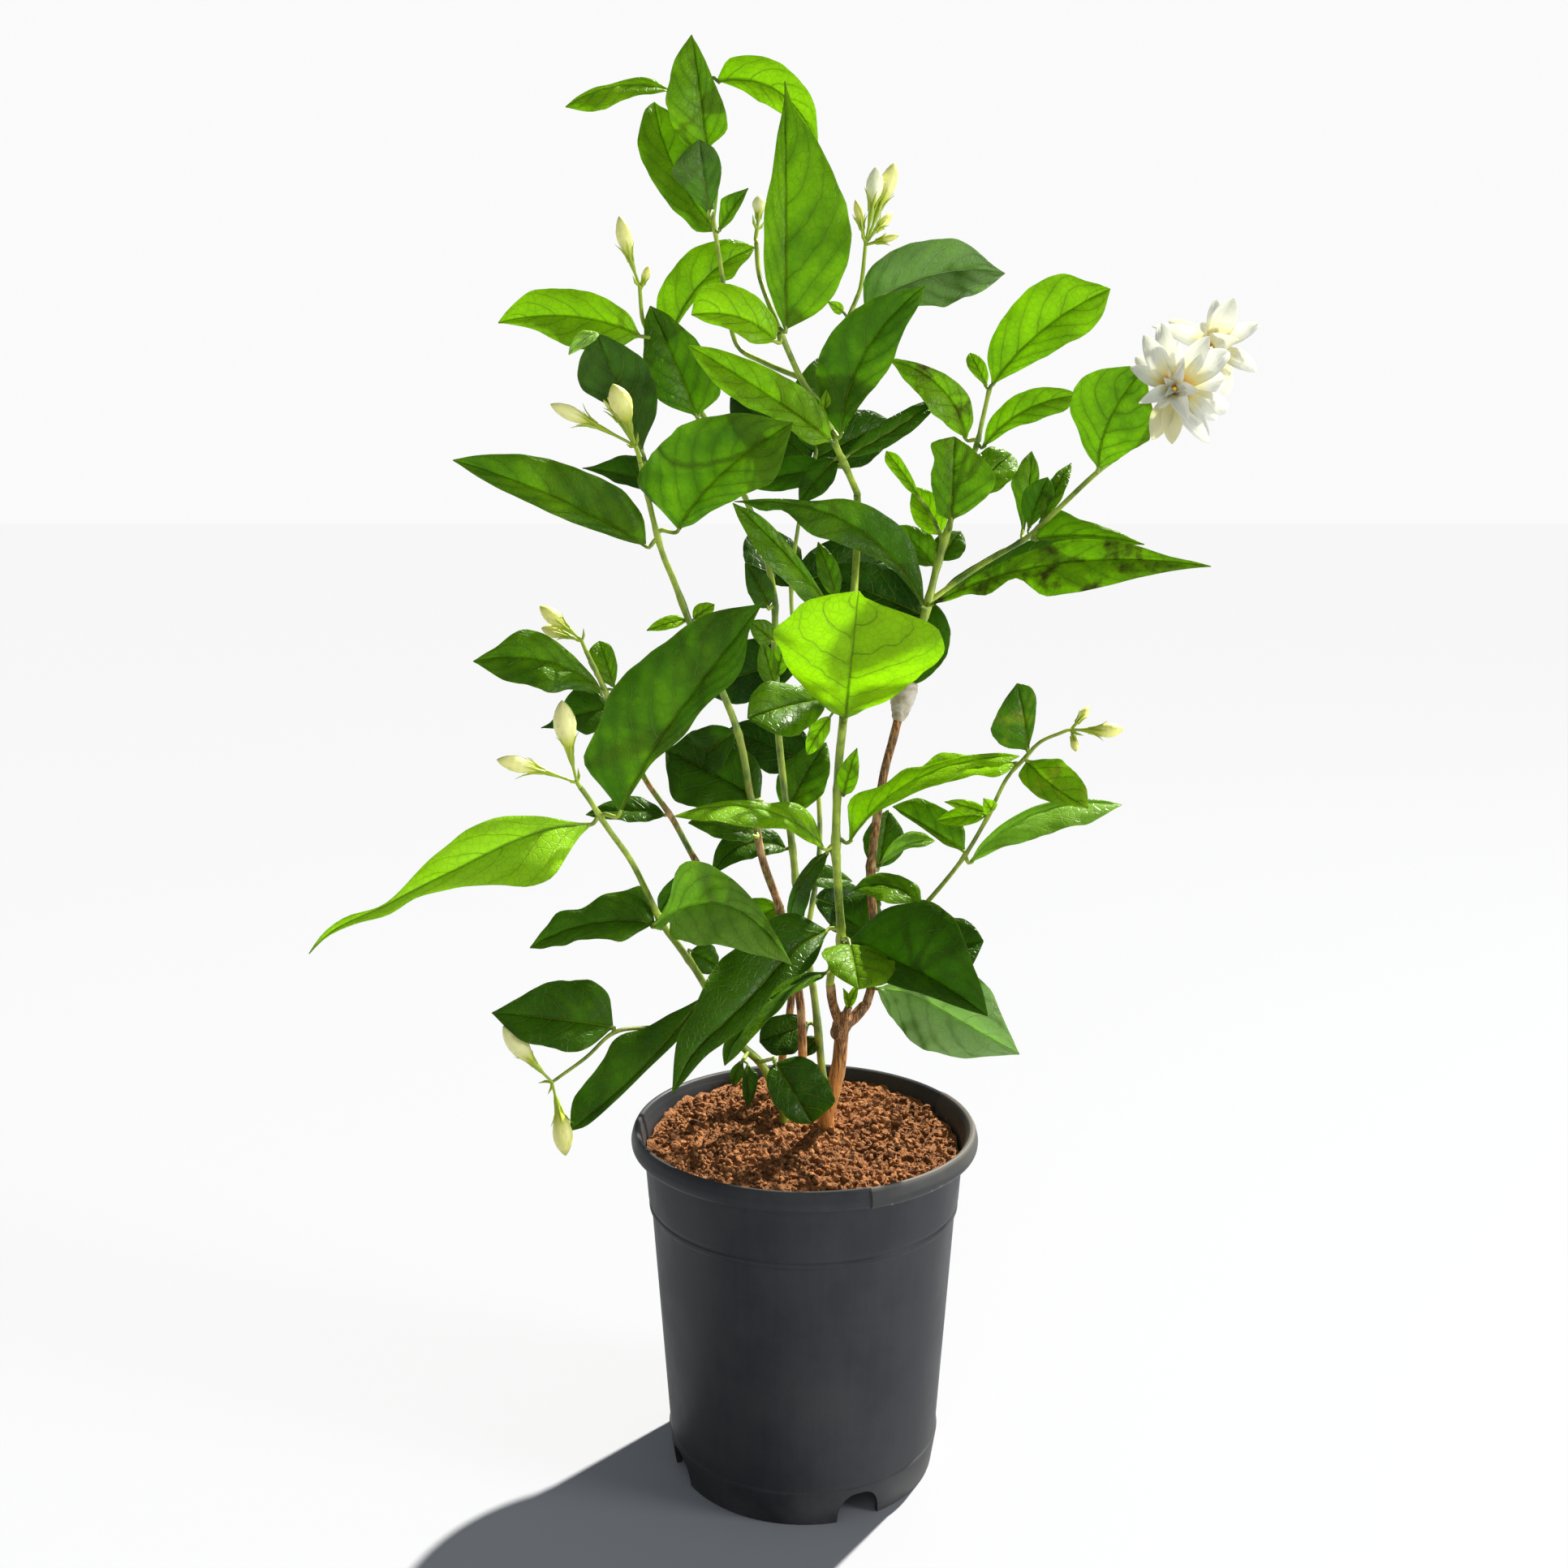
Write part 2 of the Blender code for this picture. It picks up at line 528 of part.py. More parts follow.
# Upper left stem, and the leaves below its buds.
stem("left_cane", [(986, 1236, 37), (962, 1125, 40), (940, 1060, 40), (925, 985, 38), (910, 905, 34),
                   (880, 830, 28), (853, 775, 22)],
     (4.4, 3.2), BARK, leaves=[
    leaf((936, 985, 40), (820, 925, 52), 34, turn=20, fold=12),
    leaf((905, 902, 40), (832, 968, 62), 24, turn=25, fold=12),
    leaf((960, 1118, 46), (885, 1160, 60), 20, turn=30),
    leaf((930, 1030, 34), (848, 1014, 26), 19, turn=42),
])
stem("left_top", [(830, 715, 15), (815, 678, 10), (800, 620, 5), (789, 570, 0)],
     (3.2, 2.2), GREEN_CANE, after="left_cane", leaves=[
    leaf((836, 652, 6), (977, 521, -34), 38, turn=8, fold=14, bend=-0.16),
    leaf((795, 672, 6), (558, 567, -24), 25, turn=14, fold=14, bend=0.03, belly=0.45),
    leaf((812, 622, 14), (718, 577, 30), 18, turn=25),
    leaf((791, 556, 10), (735, 410, -4), 36, turn=10, fold=10, arch=0.0, belly=0.5, root=(792, 584, 2)),
    leaf((845, 764, 22), (797, 777, 18), 7, turn=30, root=(846, 748, 19)),
    leaf((855, 762, 24), (880, 745, 30), 8, turn=20, root=(842, 738, 18)),
])
spray("buds_left_top", [(786, 558, -3), (782, 548, -7)], (2.2, 1.8), [
    ((782, 547, -7), (755, 473, -14), 10.5),
    ((782, 549, -7), (678, 498, -16), 6.0),
    ((781, 547, -7), (743, 512, -8), 3.6),
], after="left_top")

# Back cane: green, behind the others, that ends in the shoot with the upper left buds.
stem("back_cane", [(1013, 1318, 46), (1002, 1218, 50), (985, 1130, 55), (977, 1050, 58), (965, 960, 58), (958, 890, 56),
                   (955, 820, 54), (955, 745, 50)],
     (3.8, 3.2), GREEN_CANE, leaves=[
    leaf((968, 1046, 60), (878, 1078, 48), 20, turn=35, bend=0.18),
    leaf((986, 1082, 62), (1050, 1086, 70), 13, turn=30),
    leaf((952, 842, 52), (938, 790, 44), 11, turn=10),
    leaf((958, 832, 50), (971, 780, 42), 8, turn=10),
    leaf((951, 790, 50), (922, 766, 42), 12, turn=20),
    leaf((946, 748, 48), (918, 694, 38), 13, turn=20),
    leaf((970, 1000, 62), (1018, 915, 74), 24, turn=15),
    leaf((996, 1262, 52), (936, 1284, 46), 22, turn=15),
    leaf((1006, 1278, 50), (990, 1302, 46), 9, turn=15),
])
stem("back_top", [(945, 690, 50), (925, 630, 50), (898, 570, 48), (862, 505, 42), (820, 450, 36), (796, 404, 30)],
     (3.2, 2.2), GREEN_CANE, after="back_cane", leaves=[
    leaf((788, 414, 20), (614, 398, 6), 27, turn=18, fold=14, bend=0.07, root=(803, 420, 32)),
    leaf((858, 512, 38), (801, 377, 26), 30, turn=12, fold=12, belly=0.45),
    leaf((822, 425, 40), (930, 305, 52), 25, turn=14, fold=12, bend=-0.10),
])
spray("buds_back_top", [(791, 390, 28), (788, 350, 24)], (2.0, 1.7), [
    ((788, 352, 24), (763, 266, 18), 11.0),
    ((788, 360, 25), (799, 328, 22), 4.0),
], after="back_top")

# Shoot with the top right buds, and its glossy leaf.
stem("bud_shoot", [(1029, 545, 6), (1040, 480, 22), (1045, 400, 26), (1057, 364, 26)],
     (2.4, 2.0), GREEN_CANE, on="top_cane", sides=5, leaves=[
    leaf((1066, 379, 28), (1238, 337, 40), 29, turn=10, fold=12, bend=-0.09, root=(1049, 388, 26)),
    leaf((1038, 384, 24), (1020, 372, 16), 5, turn=10, root=(1046, 396, 26)),
])
spray("buds_top", [(1062, 345, 26), (1067, 296, 25)], (1.9, 1.6), [
    ((1067, 297, 25), (1080, 205, 20), 8.0),
    ((1068, 298, 25), (1103, 200, 28), 7.5),
    ((1066, 300, 25), (1054, 246, 26), 3.8),
    ((1069, 296, 25), (1100, 262, 34), 3.8),
    ((1066, 302, 25), (1108, 290, 22), 3.0),
], after="bud_shoot")
spray("bud_behind", [(931, 294, 1), (933, 280, 2)], (1.8, 1.6), [
    ((933, 282, 2), (936, 240, 4), 6.0),
], after="top_cane")

# Right cane: from the trunk's right fork to the graft, brown below and green above.
stem("right_cane", [(1077, 1200, 23), (1078, 1150, 26), (1073, 1075, 29), (1087, 965, 33), (1100, 912, 35),
                    (1106, 888, 36), (1111.5, 863, 37)],
     (4.4, 4.0), BARK, after="right_fork", leaves=[
    leaf((1082, 1068, 34), (1094, 998, 42), 20, turn=12),
    leaf((1084, 1066, 28), (1152, 1036, 22), 14, turn=40, bend=-0.08),
    leaf((1070, 1150, 32), (1024, 1122, 46), 25, turn=15, belly=0.5),
    leaf((1084, 1188, 24), (1212, 1160, 6), 21, turn=25),
    leaf((1082, 1218, 18), (1256, 1299, -46), 38, turn=8, fold=10, bend=0.02, belly=0.48, root=(1078, 1186, 24)),
])
graft_low, graft_high = spot(1106, 888, 36), spot(1117, 838, 38)
stem("right_upper", [(1117, 838, 38), (1124, 812, 38.5), (1143, 745, 39), (1154, 700, 40), (1168, 652, 40)],
     (3.8, 3.2), GREEN_CANE, after="right_cane", leaves=[
    leaf((1147, 745, 34), (1492, 698, -36), 25, turn=16, fold=14, bend=-0.06, belly=0.36),
    leaf((1150, 738, 50), (1325, 664, 58), 23, turn=20, arch=0.02),
    leaf((1138, 748, 34), (905, 618, 2), 37, turn=14, fold=12, bend=0.10, arch=0.02),
    leaf((1138, 758, 46), (1006, 704, 44), 28, turn=20, fold=12, arch=0.02),
    leaf((1150, 742, 50), (1114, 848, 58), 30, turn=10),
    leaf((1160, 690, 46), (1184, 655, 52), 15, turn=15),
    leaf((1150, 696, 46), (1104, 648, 54), 16, turn=20),
    leaf((1158, 658, 46), (1126, 600, 52), 16, turn=10),
    leaf((1172, 640, 31), (1176, 538, 26), 30, turn=8, belly=0.5, taper=0.55, root=(1164, 668, 40)),
    leaf((1132, 612, 44), (1092, 556, 42), 11, turn=10, root=(1160, 672, 40)),
])
wrap_axis = (graft_high - graft_low).normalized()
wrap_path = [graft_low.lerp(graft_high, t) for t in (0, 0.25, 0.55, 0.85, 1.0)]
outer = tube(wrap_path, [r * MM for r in (3.3, 4.6, 6.0, 6.4, 5.6)], 8)
wrap = mesh_object("graft_tape", *outer, (0.72, 0.66, 0.52), 0.5)
bore = mesh_object("bore", *tube([graft_low - wrap_axis * 0.02, graft_high + wrap_axis * 0.02],
                                 [2.65 * MM] * 2, 10))
cut(wrap, [bore])

# Right top shoot.
stem("right_top", [(1185, 600, 38), (1203, 550, 35), (1210, 520, 33), (1219, 480, 30)],
     (3.0, 1.9), GREEN_CANE, after="right_upper", leaves=[
    leaf((1190, 540, 36), (1087, 440, 16), 21, turn=20, bend=0.12),
    leaf((1215, 476, 32), (1195, 435, 38), 9, turn=10),
    leaf((1223, 474, 28), (1368, 356, 10), 31, turn=10, bend=-0.06, belly=0.5),
    leaf((1212, 550, 32), (1330, 487, 18), 18, turn=18, bend=-0.09),
    leaf((1190, 612, 40), (1246, 560, 54), 20, turn=15, belly=0.55),
])
# Flower shoot: leaves the right cane low and carries the two blooms far out to the right.
stem("flower_shoot", [(1146, 742, 38), (1200, 702, 38), (1250, 672, 28), (1270, 659, 18), (1305, 626, -10),
                      (1350, 586, -42), (1392, 556, -66)],
     (2.6, 2.0), GREEN_CANE, on="right_upper", sides=5, leaves=[
    leaf((1276, 664, 8), (1410, 671, -10), 15, turn=30, bend=-0.02),
    leaf((1352, 578, -46), (1412, 452, -52), 36, turn=8, bend=-0.07, belly=0.62),
    leaf((1268, 650, 22), (1291, 588, 14), 16, turn=10, belly=0.55),
    leaf((1260, 655, 28), (1271, 556, 34), 13, turn=14, belly=0.6),
    leaf((1284, 640, 10), (1320, 571, 24), 9, turn=20),
])

# Lower right shoot, from the right cane, that ends in three small buds.
stem("right_low", [(1078, 1165, 25), (1110, 1142, 12), (1140, 1114, 2), (1184, 1061, -10), (1215, 1010, -18),
                   (1240, 960, -22), (1262, 935, -24), (1282, 914, -25), (1312, 901, -25)],
     (2.4, 1.5), GREEN_CANE, on="right_cane", sides=5, leaves=[
    leaf((1178, 1058, -8), (1098, 1000, 4), 20, turn=15, belly=0.4),
    leaf((1196, 1062, -12), (1382, 992, -24), 24, turn=34, fold=14, bend=-0.10),
    leaf((1214, 1004, -16), (1154, 1012, -10), 9, turn=20),
    leaf((1216, 1002, -18), (1164, 988, -22), 6, turn=20),
    leaf((1222, 1000, -18), (1212, 984, -26), 7, turn=10),
    leaf((1266, 924, -25), (1253, 842, -30), 21, turn=10, bend=0.02, belly=0.5, taper=0.5),
    leaf((1266, 938, -28), (1341, 996, -46), 21, turn=10, bend=0.06, belly=0.5, taper=0.5),
    leaf((1252, 940, -20), (1122, 956, 4), 22, turn=50, bend=-0.06),
    leaf((1134, 1112, 4), (1050, 1098, 22), 22, turn=36, bend=0.10),
])
spray("buds_right", [(1322, 899, -25)], (1.5, 1.4), [
    ((1320, 899, -25), (1384, 899, -28), 6.4),
    ((1320, 899, -25), (1342, 870, -20), 3.6),
    ((1320, 899, -25), (1326, 926, -30), 3.6),
], after="right_low")

# Low cane: leaves the soil on the left and swings out to the long-tailed leaf and the lower left buds.
stem("low_cane", [(940, 1314, 16), (905, 1278, 8), (862, 1203, -5), (838, 1168, -12), (815, 1136, -20), (780, 1065, -32),
                  (750, 1022, -40), (726, 985, -45), (715, 970, -48)],
     (4.2, 2.2), GREEN_CANE, leaves=[
    leaf((806, 1142, -26), (975, 1188, -74), 34, turn=12, fold=20, bend=-0.20, belly=0.45),
    leaf((806, 1138, -22), (653, 1168, -34), 23, turn=16, bend=0.08, belly=0.35),
    leaf((727, 1016, -44), (381, 1175, -62), 29, turn=14, fold=16, bend=0.0, sway=-0.015, belly=0.27, taper=0.75),
    leaf((764, 1000, -46), (940, 742, -58), 39, turn=8, fold=12, bend=-0.10),
    leaf((866, 1228, 2), (703, 1393, -22), 25, turn=12, fold=10, bend=-0.05),
    leaf((852, 1172, -4), (884, 1192, 6), 14, turn=15),
])
spray("buds_left", [(710, 962, -49)], (2.0, 1.7), [
    ((711, 964, -49), (692, 863, -54), 9.8),
    ((712, 965, -48.6), (612, 936, -60), 7.4),
], after="low_cane")

# Low left shoot, with one oval leaf and two hanging buds.
stem("low_left", [(884, 1240, 3), (850, 1262, 8), (800, 1266, 2), (757, 1272, -10), (722, 1303, -19), (685, 1330, -20)],
     (2.2, 1.5), GREEN_CANE, on="low_cane", sides=5, leaves=[
    leaf((755, 1266, -10), (606, 1248, -26), 31, turn=10, fold=10, bend=0.0, belly=0.40, taper=0.5),
])
spray("buds_low_left", [(678, 1335, -21)], (1.5, 1.4), [
    ((681, 1334, -21.2), (620, 1264, -28), 9.6),
    ((680, 1333, -20.6), (697, 1424, -26), 9.6),
], after="low_left")

# Twig low on the same cane, with the round dark leaf that hangs over the soil.
stem("low_twig", [(936, 1310, 14), (946, 1306, 2), (954, 1304, -6)],
     (2.2, 1.6), GREEN_CANE, on="low_cane", sides=5, leaves=[
    leaf((955, 1310, -8), (1000, 1384, -14), 31, turn=10, belly=0.55, taper=0.5),
])
stem("low_side", [(922, 1296, 12), (917, 1304, 2), (916, 1306, -4)],
     (2.0, 1.6), GREEN_CANE, on="low_cane", sides=5, leaves=[
    leaf((921, 1313, -6), (922, 1364, -10), 8, turn=10, belly=0.5),
    leaf((914, 1308, -4), (903, 1337, 4), 6, turn=10),
])

# Rear cane and its side shoot, behind everything, ending in the shaded buds at the left.
stem("rear_cane", [(975, 1200, 62), (930, 1150, 64), (895, 1110, 64), (860, 1065, 64), (828, 1008, 60), (795, 960, 54),
                   (765, 900, 46), (745, 850, 40), (722, 802, 34)],
     (4.0, 2.2), BARK, leaves=[
    leaf((850, 1066, 66), (812, 1128, 70), 24, turn=15),
    leaf((818, 1004, 62), (722, 1004, 60), 17, turn=45),
    leaf((742, 852, 38), (583, 815, 16), 26, turn=20, bend=0.10),
    leaf((752, 872, 46), (667, 897, 50), 20, turn=30),
    leaf((756, 846, 42), (738, 790, 46), 18, turn=10),
    leaf((772, 904, 52), (850, 820, 70), 30, turn=15),
])
spray("buds_rear", [(716, 788, 32)], (2.0, 1.6), [
    ((717, 789, 31.8), (665, 747, 28), 7.0),
    ((716, 790, 32.4), (667, 774, 38), 6.0),
], after="rear_cane")
stem("rear_shoot", [(971, 1208, 62), (983, 1196, 73), (998, 1130, 79), (1010, 1040, 86), (1005, 940, 92), (990, 840, 96), (975, 740, 96),
                    (985, 640, 92), (1005, 560, 86)],
     (3.0, 1.8), GREEN_CANE, on="rear_cane", leaves=[
    leaf((1004, 1108, 82), (1092, 1145, 104), 28, turn=25),
    leaf((1000, 940, 92), (895, 900, 112), 30, turn=20),
    leaf((990, 820, 98), (1100, 790, 122), 34, turn=20),
    leaf((984, 815, 96), (870, 850, 124), 34, turn=25),
    leaf((980, 720, 98), (1105, 690, 118), 32, turn=20),
    leaf((974, 722, 96), (925, 655, 124), 28, turn=20),
    leaf((1004, 566, 88), (1100, 520, 104), 30, turn=18),
    leaf((998, 566, 86), (900, 490, 108), 32, turn=18),
    leaf((1006, 556, 86), (1010, 440, 96), 30, turn=10),
])


def bloom(name, stalk, on_tip, face_at, petals, across):
    """A double bloom: a short green tube, then rings of pointed white petals that curve back."""
    line = stem_path(name, stalk, (2.0, 2.6), None, on_tip, 0.02)
    obj = mesh_object(name, *cane_tube(line, (2.0, 3.4), 6), WHITE, 0.6)
    centre = line[-1]
    facing = (spot(*face_at) - centre).normalized()
    first = facing.orthogonal().normalized()
    second = facing.cross(first)
    random.seed(31)
    pieces = []
    for ring, (count, lean, reach) in enumerate(petals):
        for k in range(count):
            around = 2 * math.pi * (k + 0.37 * ring + random.uniform(-0.08, 0.08)) / count
            out = first * math.cos(around) + second * math.sin(around)
            tip = (out * math.sin(math.radians(lean)) + facing * math.cos(math.radians(lean)))
            long = across / 2 * reach * MM
            start = centre - facing * ((1.3 - 0.35 * ring + random.uniform(-0.1, 0.1)) * MM)
            width = (8.4 - 0.8 * ring) * MM / 2
            side = facing.cross(out).normalized()
            up = side.cross(tip).normalized()
            points, faces = [], []
            for t, w in ((0.0, 0.28), (0.4, 0.9), (0.75, 0.9), (1.0, 0.0)):
                middle = start + tip * (long * t) - up * (0.16 * long * t * t)
                here = [middle - side * (width * w), middle + side * (width * w)] if w else [middle]
                for half in (0.35, -0.35):
                    points += [p + up * (half * MM) for p in here]
            for n in range(2):
                a = 4 * n
                faces += [(a, a + 1, a + 5), (a, a + 5, a + 4), (a + 2, a + 7, a + 3), (a + 2, a + 6, a + 7),
                          (a, a + 4, a + 6), (a, a + 6, a + 2), (a + 1, a + 3, a + 7), (a + 1, a + 7, a + 5)]
            faces += [(0, 2, 3), (0, 3, 1), (8, 9, 12), (10, 13, 11), (8, 12, 13), (8, 13, 10), (9, 11, 13), (9, 13, 12)]
            pieces.append(mesh_object("petal_%d_%d" % (ring, k), points, faces))
    return joined(obj, pieces)


PETALS = ((7, 92, 1.0), (5, 62, 0.92), (3, 30, 0.74))
bloom("bloom_front", [(1425, 520, -82), (1445, 482, -92)], "flower_shoot", (1440, 470, -140), PETALS, 40)
stem("bloom_stalk", [(1362, 578, -49), (1370, 562, -36), (1398, 542, -38), (1430, 520, -44), (1484, 446, -58)], (1.8, 2.0), GREEN_CANE,
     on="flower_shoot", sides=5)
bloom("bloom_back", [(1490, 434, -61)], "bloom_stalk", (1510, 400, -110), PETALS, 44)
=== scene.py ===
"""The looks of a potted Arabian jasmine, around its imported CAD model: charcoal nursery pot, crumbly soil,
woody and green canes, veined leaves, bud sprays and two double blooms. Metres, +Z up."""

import math
import random

import bmesh
import bpy
import numpy as np
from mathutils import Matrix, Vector, noise


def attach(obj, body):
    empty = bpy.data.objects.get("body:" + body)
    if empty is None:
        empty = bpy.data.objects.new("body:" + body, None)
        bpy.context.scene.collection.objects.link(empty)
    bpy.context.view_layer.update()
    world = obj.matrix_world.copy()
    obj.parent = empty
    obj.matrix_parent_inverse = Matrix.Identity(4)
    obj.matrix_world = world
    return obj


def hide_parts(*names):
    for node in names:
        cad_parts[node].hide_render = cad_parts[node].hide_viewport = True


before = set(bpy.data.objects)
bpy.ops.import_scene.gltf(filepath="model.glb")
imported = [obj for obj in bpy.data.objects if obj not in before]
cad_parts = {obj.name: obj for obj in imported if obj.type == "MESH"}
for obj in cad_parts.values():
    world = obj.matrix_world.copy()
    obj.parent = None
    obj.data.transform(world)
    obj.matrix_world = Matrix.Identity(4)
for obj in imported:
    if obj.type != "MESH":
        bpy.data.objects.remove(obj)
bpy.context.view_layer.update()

# The view: a camera at chest height in front of the pot, looking a little down, at the angle and distance
# of the photograph. The places of stems and leaves further on are pixels of this view.
VIEW_PX = 1932
VIEW_FOCAL_PX = 1967.0
VIEW_PITCH = math.radians(9.88)
VIEW_AT = Vector((-0.009, -0.700, 0.444))
view = bpy.data.cameras.new("view")
view.sensor_width = 36.0
view.lens = 36.0 * VIEW_FOCAL_PX / VIEW_PX
view.clip_start = 0.01
view_object = bpy.data.objects.new("view", view)
view_object.location = VIEW_AT
view_object.rotation_euler = (math.pi / 2 - VIEW_PITCH, 0, 0)
bpy.context.scene.collection.objects.link(view_object)
bpy.context.scene.camera = view_object
bpy.context.scene.view_settings.view_transform = "Standard"

# The pot: blow-moulded charcoal polypropylene with a thin wall, a rolled lip, a stacking ring below the
# neck and a skirt with four arched notches. It comes out of its mould satin and picks up dust and scuffs at
# the nursery. The thicker part of the lip is painted lighter, partly scuffs and partly painted sunlight, with
# a painted highlight along its top edge.
MM = 0.001
POT_SIDES = 144
LIP_R = 80.0
CROWN_R = 78.0
POT_HEIGHT = 164.0
LIP_TALL = 9.4
NECK_R = 73.6
RING_Z = 131.0
RING_R = 72.0
SEAM_Z = 16.4
SEAM_R = 63.6
FOOT_R = 61.0
WALL = 1.7
SKIRT_WALL = 2.4
FLOOR_UNDER_Z = 14.8
FLOOR_TOP_Z = 17.2
CENTRE_FOOT_R = 10.0
LIP_JOIN = (-70.0, 29.0)
JOIN_SWELL = 0.95
JOIN_STEP_WIDE = 2.6
JOIN_STEP_AT = 0.45
LIP_TRIM = 0.65
LIP_WAVE = 0.18
NOTCHES = 4
NOTCH_WIDE = 20.0
NOTCH_TALL = 14.0
NOTCH_AZIMUTH = 23.0
NOTCH_CUT_R = (50.0, 68.0)
NOTCH_CUT_FROM_Z = -2.0
ARCH_STEPS = 12
ARCH_ROUND = 0.8
DRAIN_R = 4.5
DRAIN_RING_R = 40.0
DRAIN_CUT_Z = (10.0, 22.0)
DRAIN_SIDES = 24
CHARCOAL = (0.030, 0.033, 0.038, 1.0)
CHARCOAL_WORN = (0.046, 0.048, 0.052, 1.0)
LIP_WORN_AND_LIT = (0.070, 0.069, 0.062, 1.0)
DUST_AND_HIGHLIGHT = (0.19, 0.175, 0.155, 1.0)


def new_piece(name, points, faces, materials, smooth_under=40.0):
    """A mesh object with these materials, smooth except across edges sharper than `smooth_under` degrees."""
    mesh = bpy.data.meshes.new(name)
    mesh.from_pydata([tuple(p) for p in points], [], faces)
    for material in materials:
        mesh.materials.append(material)
    piece = bpy.data.objects.new(name, mesh)
    bpy.context.scene.collection.objects.link(piece)
    soften_shading(piece, smooth_under)
    return piece


def soften_shading(piece, smooth_under):
    """Shades the piece smooth except across edges sharper than `smooth_under` degrees."""
    made = bmesh.new()
    made.from_mesh(piece.data)
    for face in made.faces:
        face.smooth = True
    limit = math.radians(smooth_under)
    for edge in made.edges:
        edge.smooth = len(edge.link_faces) == 2 and edge.calc_face_angle(0.0) < limit
    made.to_mesh(piece.data)
    made.free()


def finish_named(name):
    """A new node material, its node tree and the shader that its output takes."""
    material = bpy.data.materials.new(name)
    material.use_nodes = True
    return material, material.node_tree, material.node_tree.nodes["Principled BSDF"]


def wired(tree, kind, feeds, **settings):
    """Adds a shader node. Each of its feeds is a plain value or the output of another node."""
    made = tree.nodes.new("ShaderNode" + kind)
    for key, value in settings.items():
        setattr(made, key, value)
    for socket, value in feeds.items():
        if isinstance(value, bpy.types.NodeSocket):
            tree.links.new(value, made.inputs[socket])
        else:
            made.inputs[socket].default_value = value
    return made


def blended(tree, share, first, second):
    """The colour that mixes two colours by a share."""
    return wired(tree, "Mix", {0: share, 6: first, 7: second}, data_type="RGBA").outputs[2]


def result_of(tree, way, *values):
    """The result of a Math node."""
    return wired(tree, "Math", dict(enumerate(values)), operation=way).outputs[0]


def plus(tree, first, second):
    """Two values added up."""
    return result_of(tree, "ADD", first, second)


def times(tree, first, second):
    """Two values multiplied."""
    return result_of(tree, "MULTIPLY", first, second)


def stretched(tree, value, low, high, to_low=0.0, to_high=1.0):
    """A value's range from low to high, brought to another range and held inside it."""
    feeds = {0: value, 1: low, 2: high, 3: to_low, 4: to_high}
    return wired(tree, "MapRange", feeds, clamp=True).outputs[0]


def place_of(tree):
    """The place of a shaded point, in metres."""
    return wired(tree, "TexCoord", {}).outputs["Object"]


def clouds(tree, at, scale, detail, roughness=0.5):
    """The grey of a cloudy noise at a place."""
    feeds = {"Vector": at, "Scale": scale, "Detail": detail, "Roughness": roughness}
    return wired(tree, "TexNoise", feeds).outputs["Fac"]


def roughened(tree, shader, relief, strength, distance):
    """Gives the shader a face with this relief, and returns that face's normal."""
    bump = wired(tree, "Bump", {"Height": relief, "Strength": strength, "Distance": distance})
    tree.links.new(bump.outputs["Normal"], shader.inputs["Normal"])
    return bump.outputs["Normal"]


def rounded(profile, reach=0.9, steps=4):
    """The profile with each inner corner turned into a small curve, `reach` mm or a third of an edge long."""
    made = [profile[0]]
    for before, corner, after in zip(profile, profile[1:], profile[2:]):
        to_before = math.dist(before, corner)
        to_after = math.dist(corner, after)
        short = min(reach, to_before / 3, to_after / 3)
        a = [c + (b - c) * short / to_before for c, b in zip(corner, before)]
        b = [c + (d - c) * short / to_after for c, d in zip(corner, after)]
        for k in range(steps + 1):
            t = k / steps
            near, mid, far = (1 - t) ** 2, 2 * t * (1 - t), t * t
            made.append(tuple(near * p + mid * c + far * q for p, c, q in zip(a, corner, b)))
    return made + [profile[-1]]


def turned(profile, sides):
    """Points and faces of a round body turned about the pot's axis from (radius, height) pairs in mm."""
    points, faces, rings = [], [], []
    for r, z in profile:
        if r == 0:
            rings.append([len(points)])
            points.append(Vector((0, 0, z * MM)))
            continue
        rings.append(list(range(len(points), len(points) + sides)))
        for k in range(sides):
            around = 2 * math.pi * k / sides
            points.append(Vector((r * math.cos(around) * MM, r * math.sin(around) * MM, z * MM)))
    for low, high in zip(rings, rings[1:]):
        for k in range(sides):
            j = (k + 1) % sides
            if len(low) == 1:
                faces.append((low[0], high[j], high[k]))
            elif len(high) == 1:
                faces.append((low[k], low[j], high[0]))
            else:
                faces.append((low[k], low[j], high[j], high[k]))
    return points, faces


charcoal, tree, shader = finish_named("charcoal_plastic")
place = place_of(tree)
east, north, height = wired(tree, "SeparateXYZ", {"Vector": place}).outputs
cloud = clouds(tree, place, 26.0, 5.0, 0.6)
grain = clouds(tree, place, 1400.0, 2.0)
upright_way = wired(tree, "Mapping", {"Vector": place, "Scale": (260.0, 260.0, 9.0)}).outputs["Vector"]
streak = clouds(tree, upright_way, 1.0, 4.0, 0.65)
slanted = {"Vector": place, "Rotation": (0.5, 0.9, 0.3), "Scale": (900.0, 30.0, 900.0)}
scratch = clouds(tree, wired(tree, "Mapping", slanted).outputs["Vector"], 1.0, 2.0)
scratches = stretched(tree, scratch, 0.69, 0.74)
worn = stretched(tree, plus(tree, cloud, times(tree, streak, 0.28)), 0.50, 0.84)
skin = blended(tree, worn, CHARCOAL, CHARCOAL_WORN)
skin = blended(tree, times(tree, scratches, 0.35), skin, CHARCOAL_WORN)
low_dust = stretched(tree, height, 0.020, 0.0, 0.0, 0.42)
lip_dust = stretched(tree, height, 0.1600, 0.164, 0.0, 0.08)
dust = plus(tree, low_dust, lip_dust)
dusty = times(tree, dust, stretched(tree, cloud, 0.35, 0.75))
skin = blended(tree, dusty, skin, DUST_AND_HIGHLIGHT)
bearing = result_of(tree, "ARCTAN2", north, east)
first_join, last_join = [math.radians(a) for a in LIP_JOIN]
joined = times(tree, stretched(tree, bearing, first_join - 0.015, first_join),
               stretched(tree, bearing, last_join, last_join - 0.015))
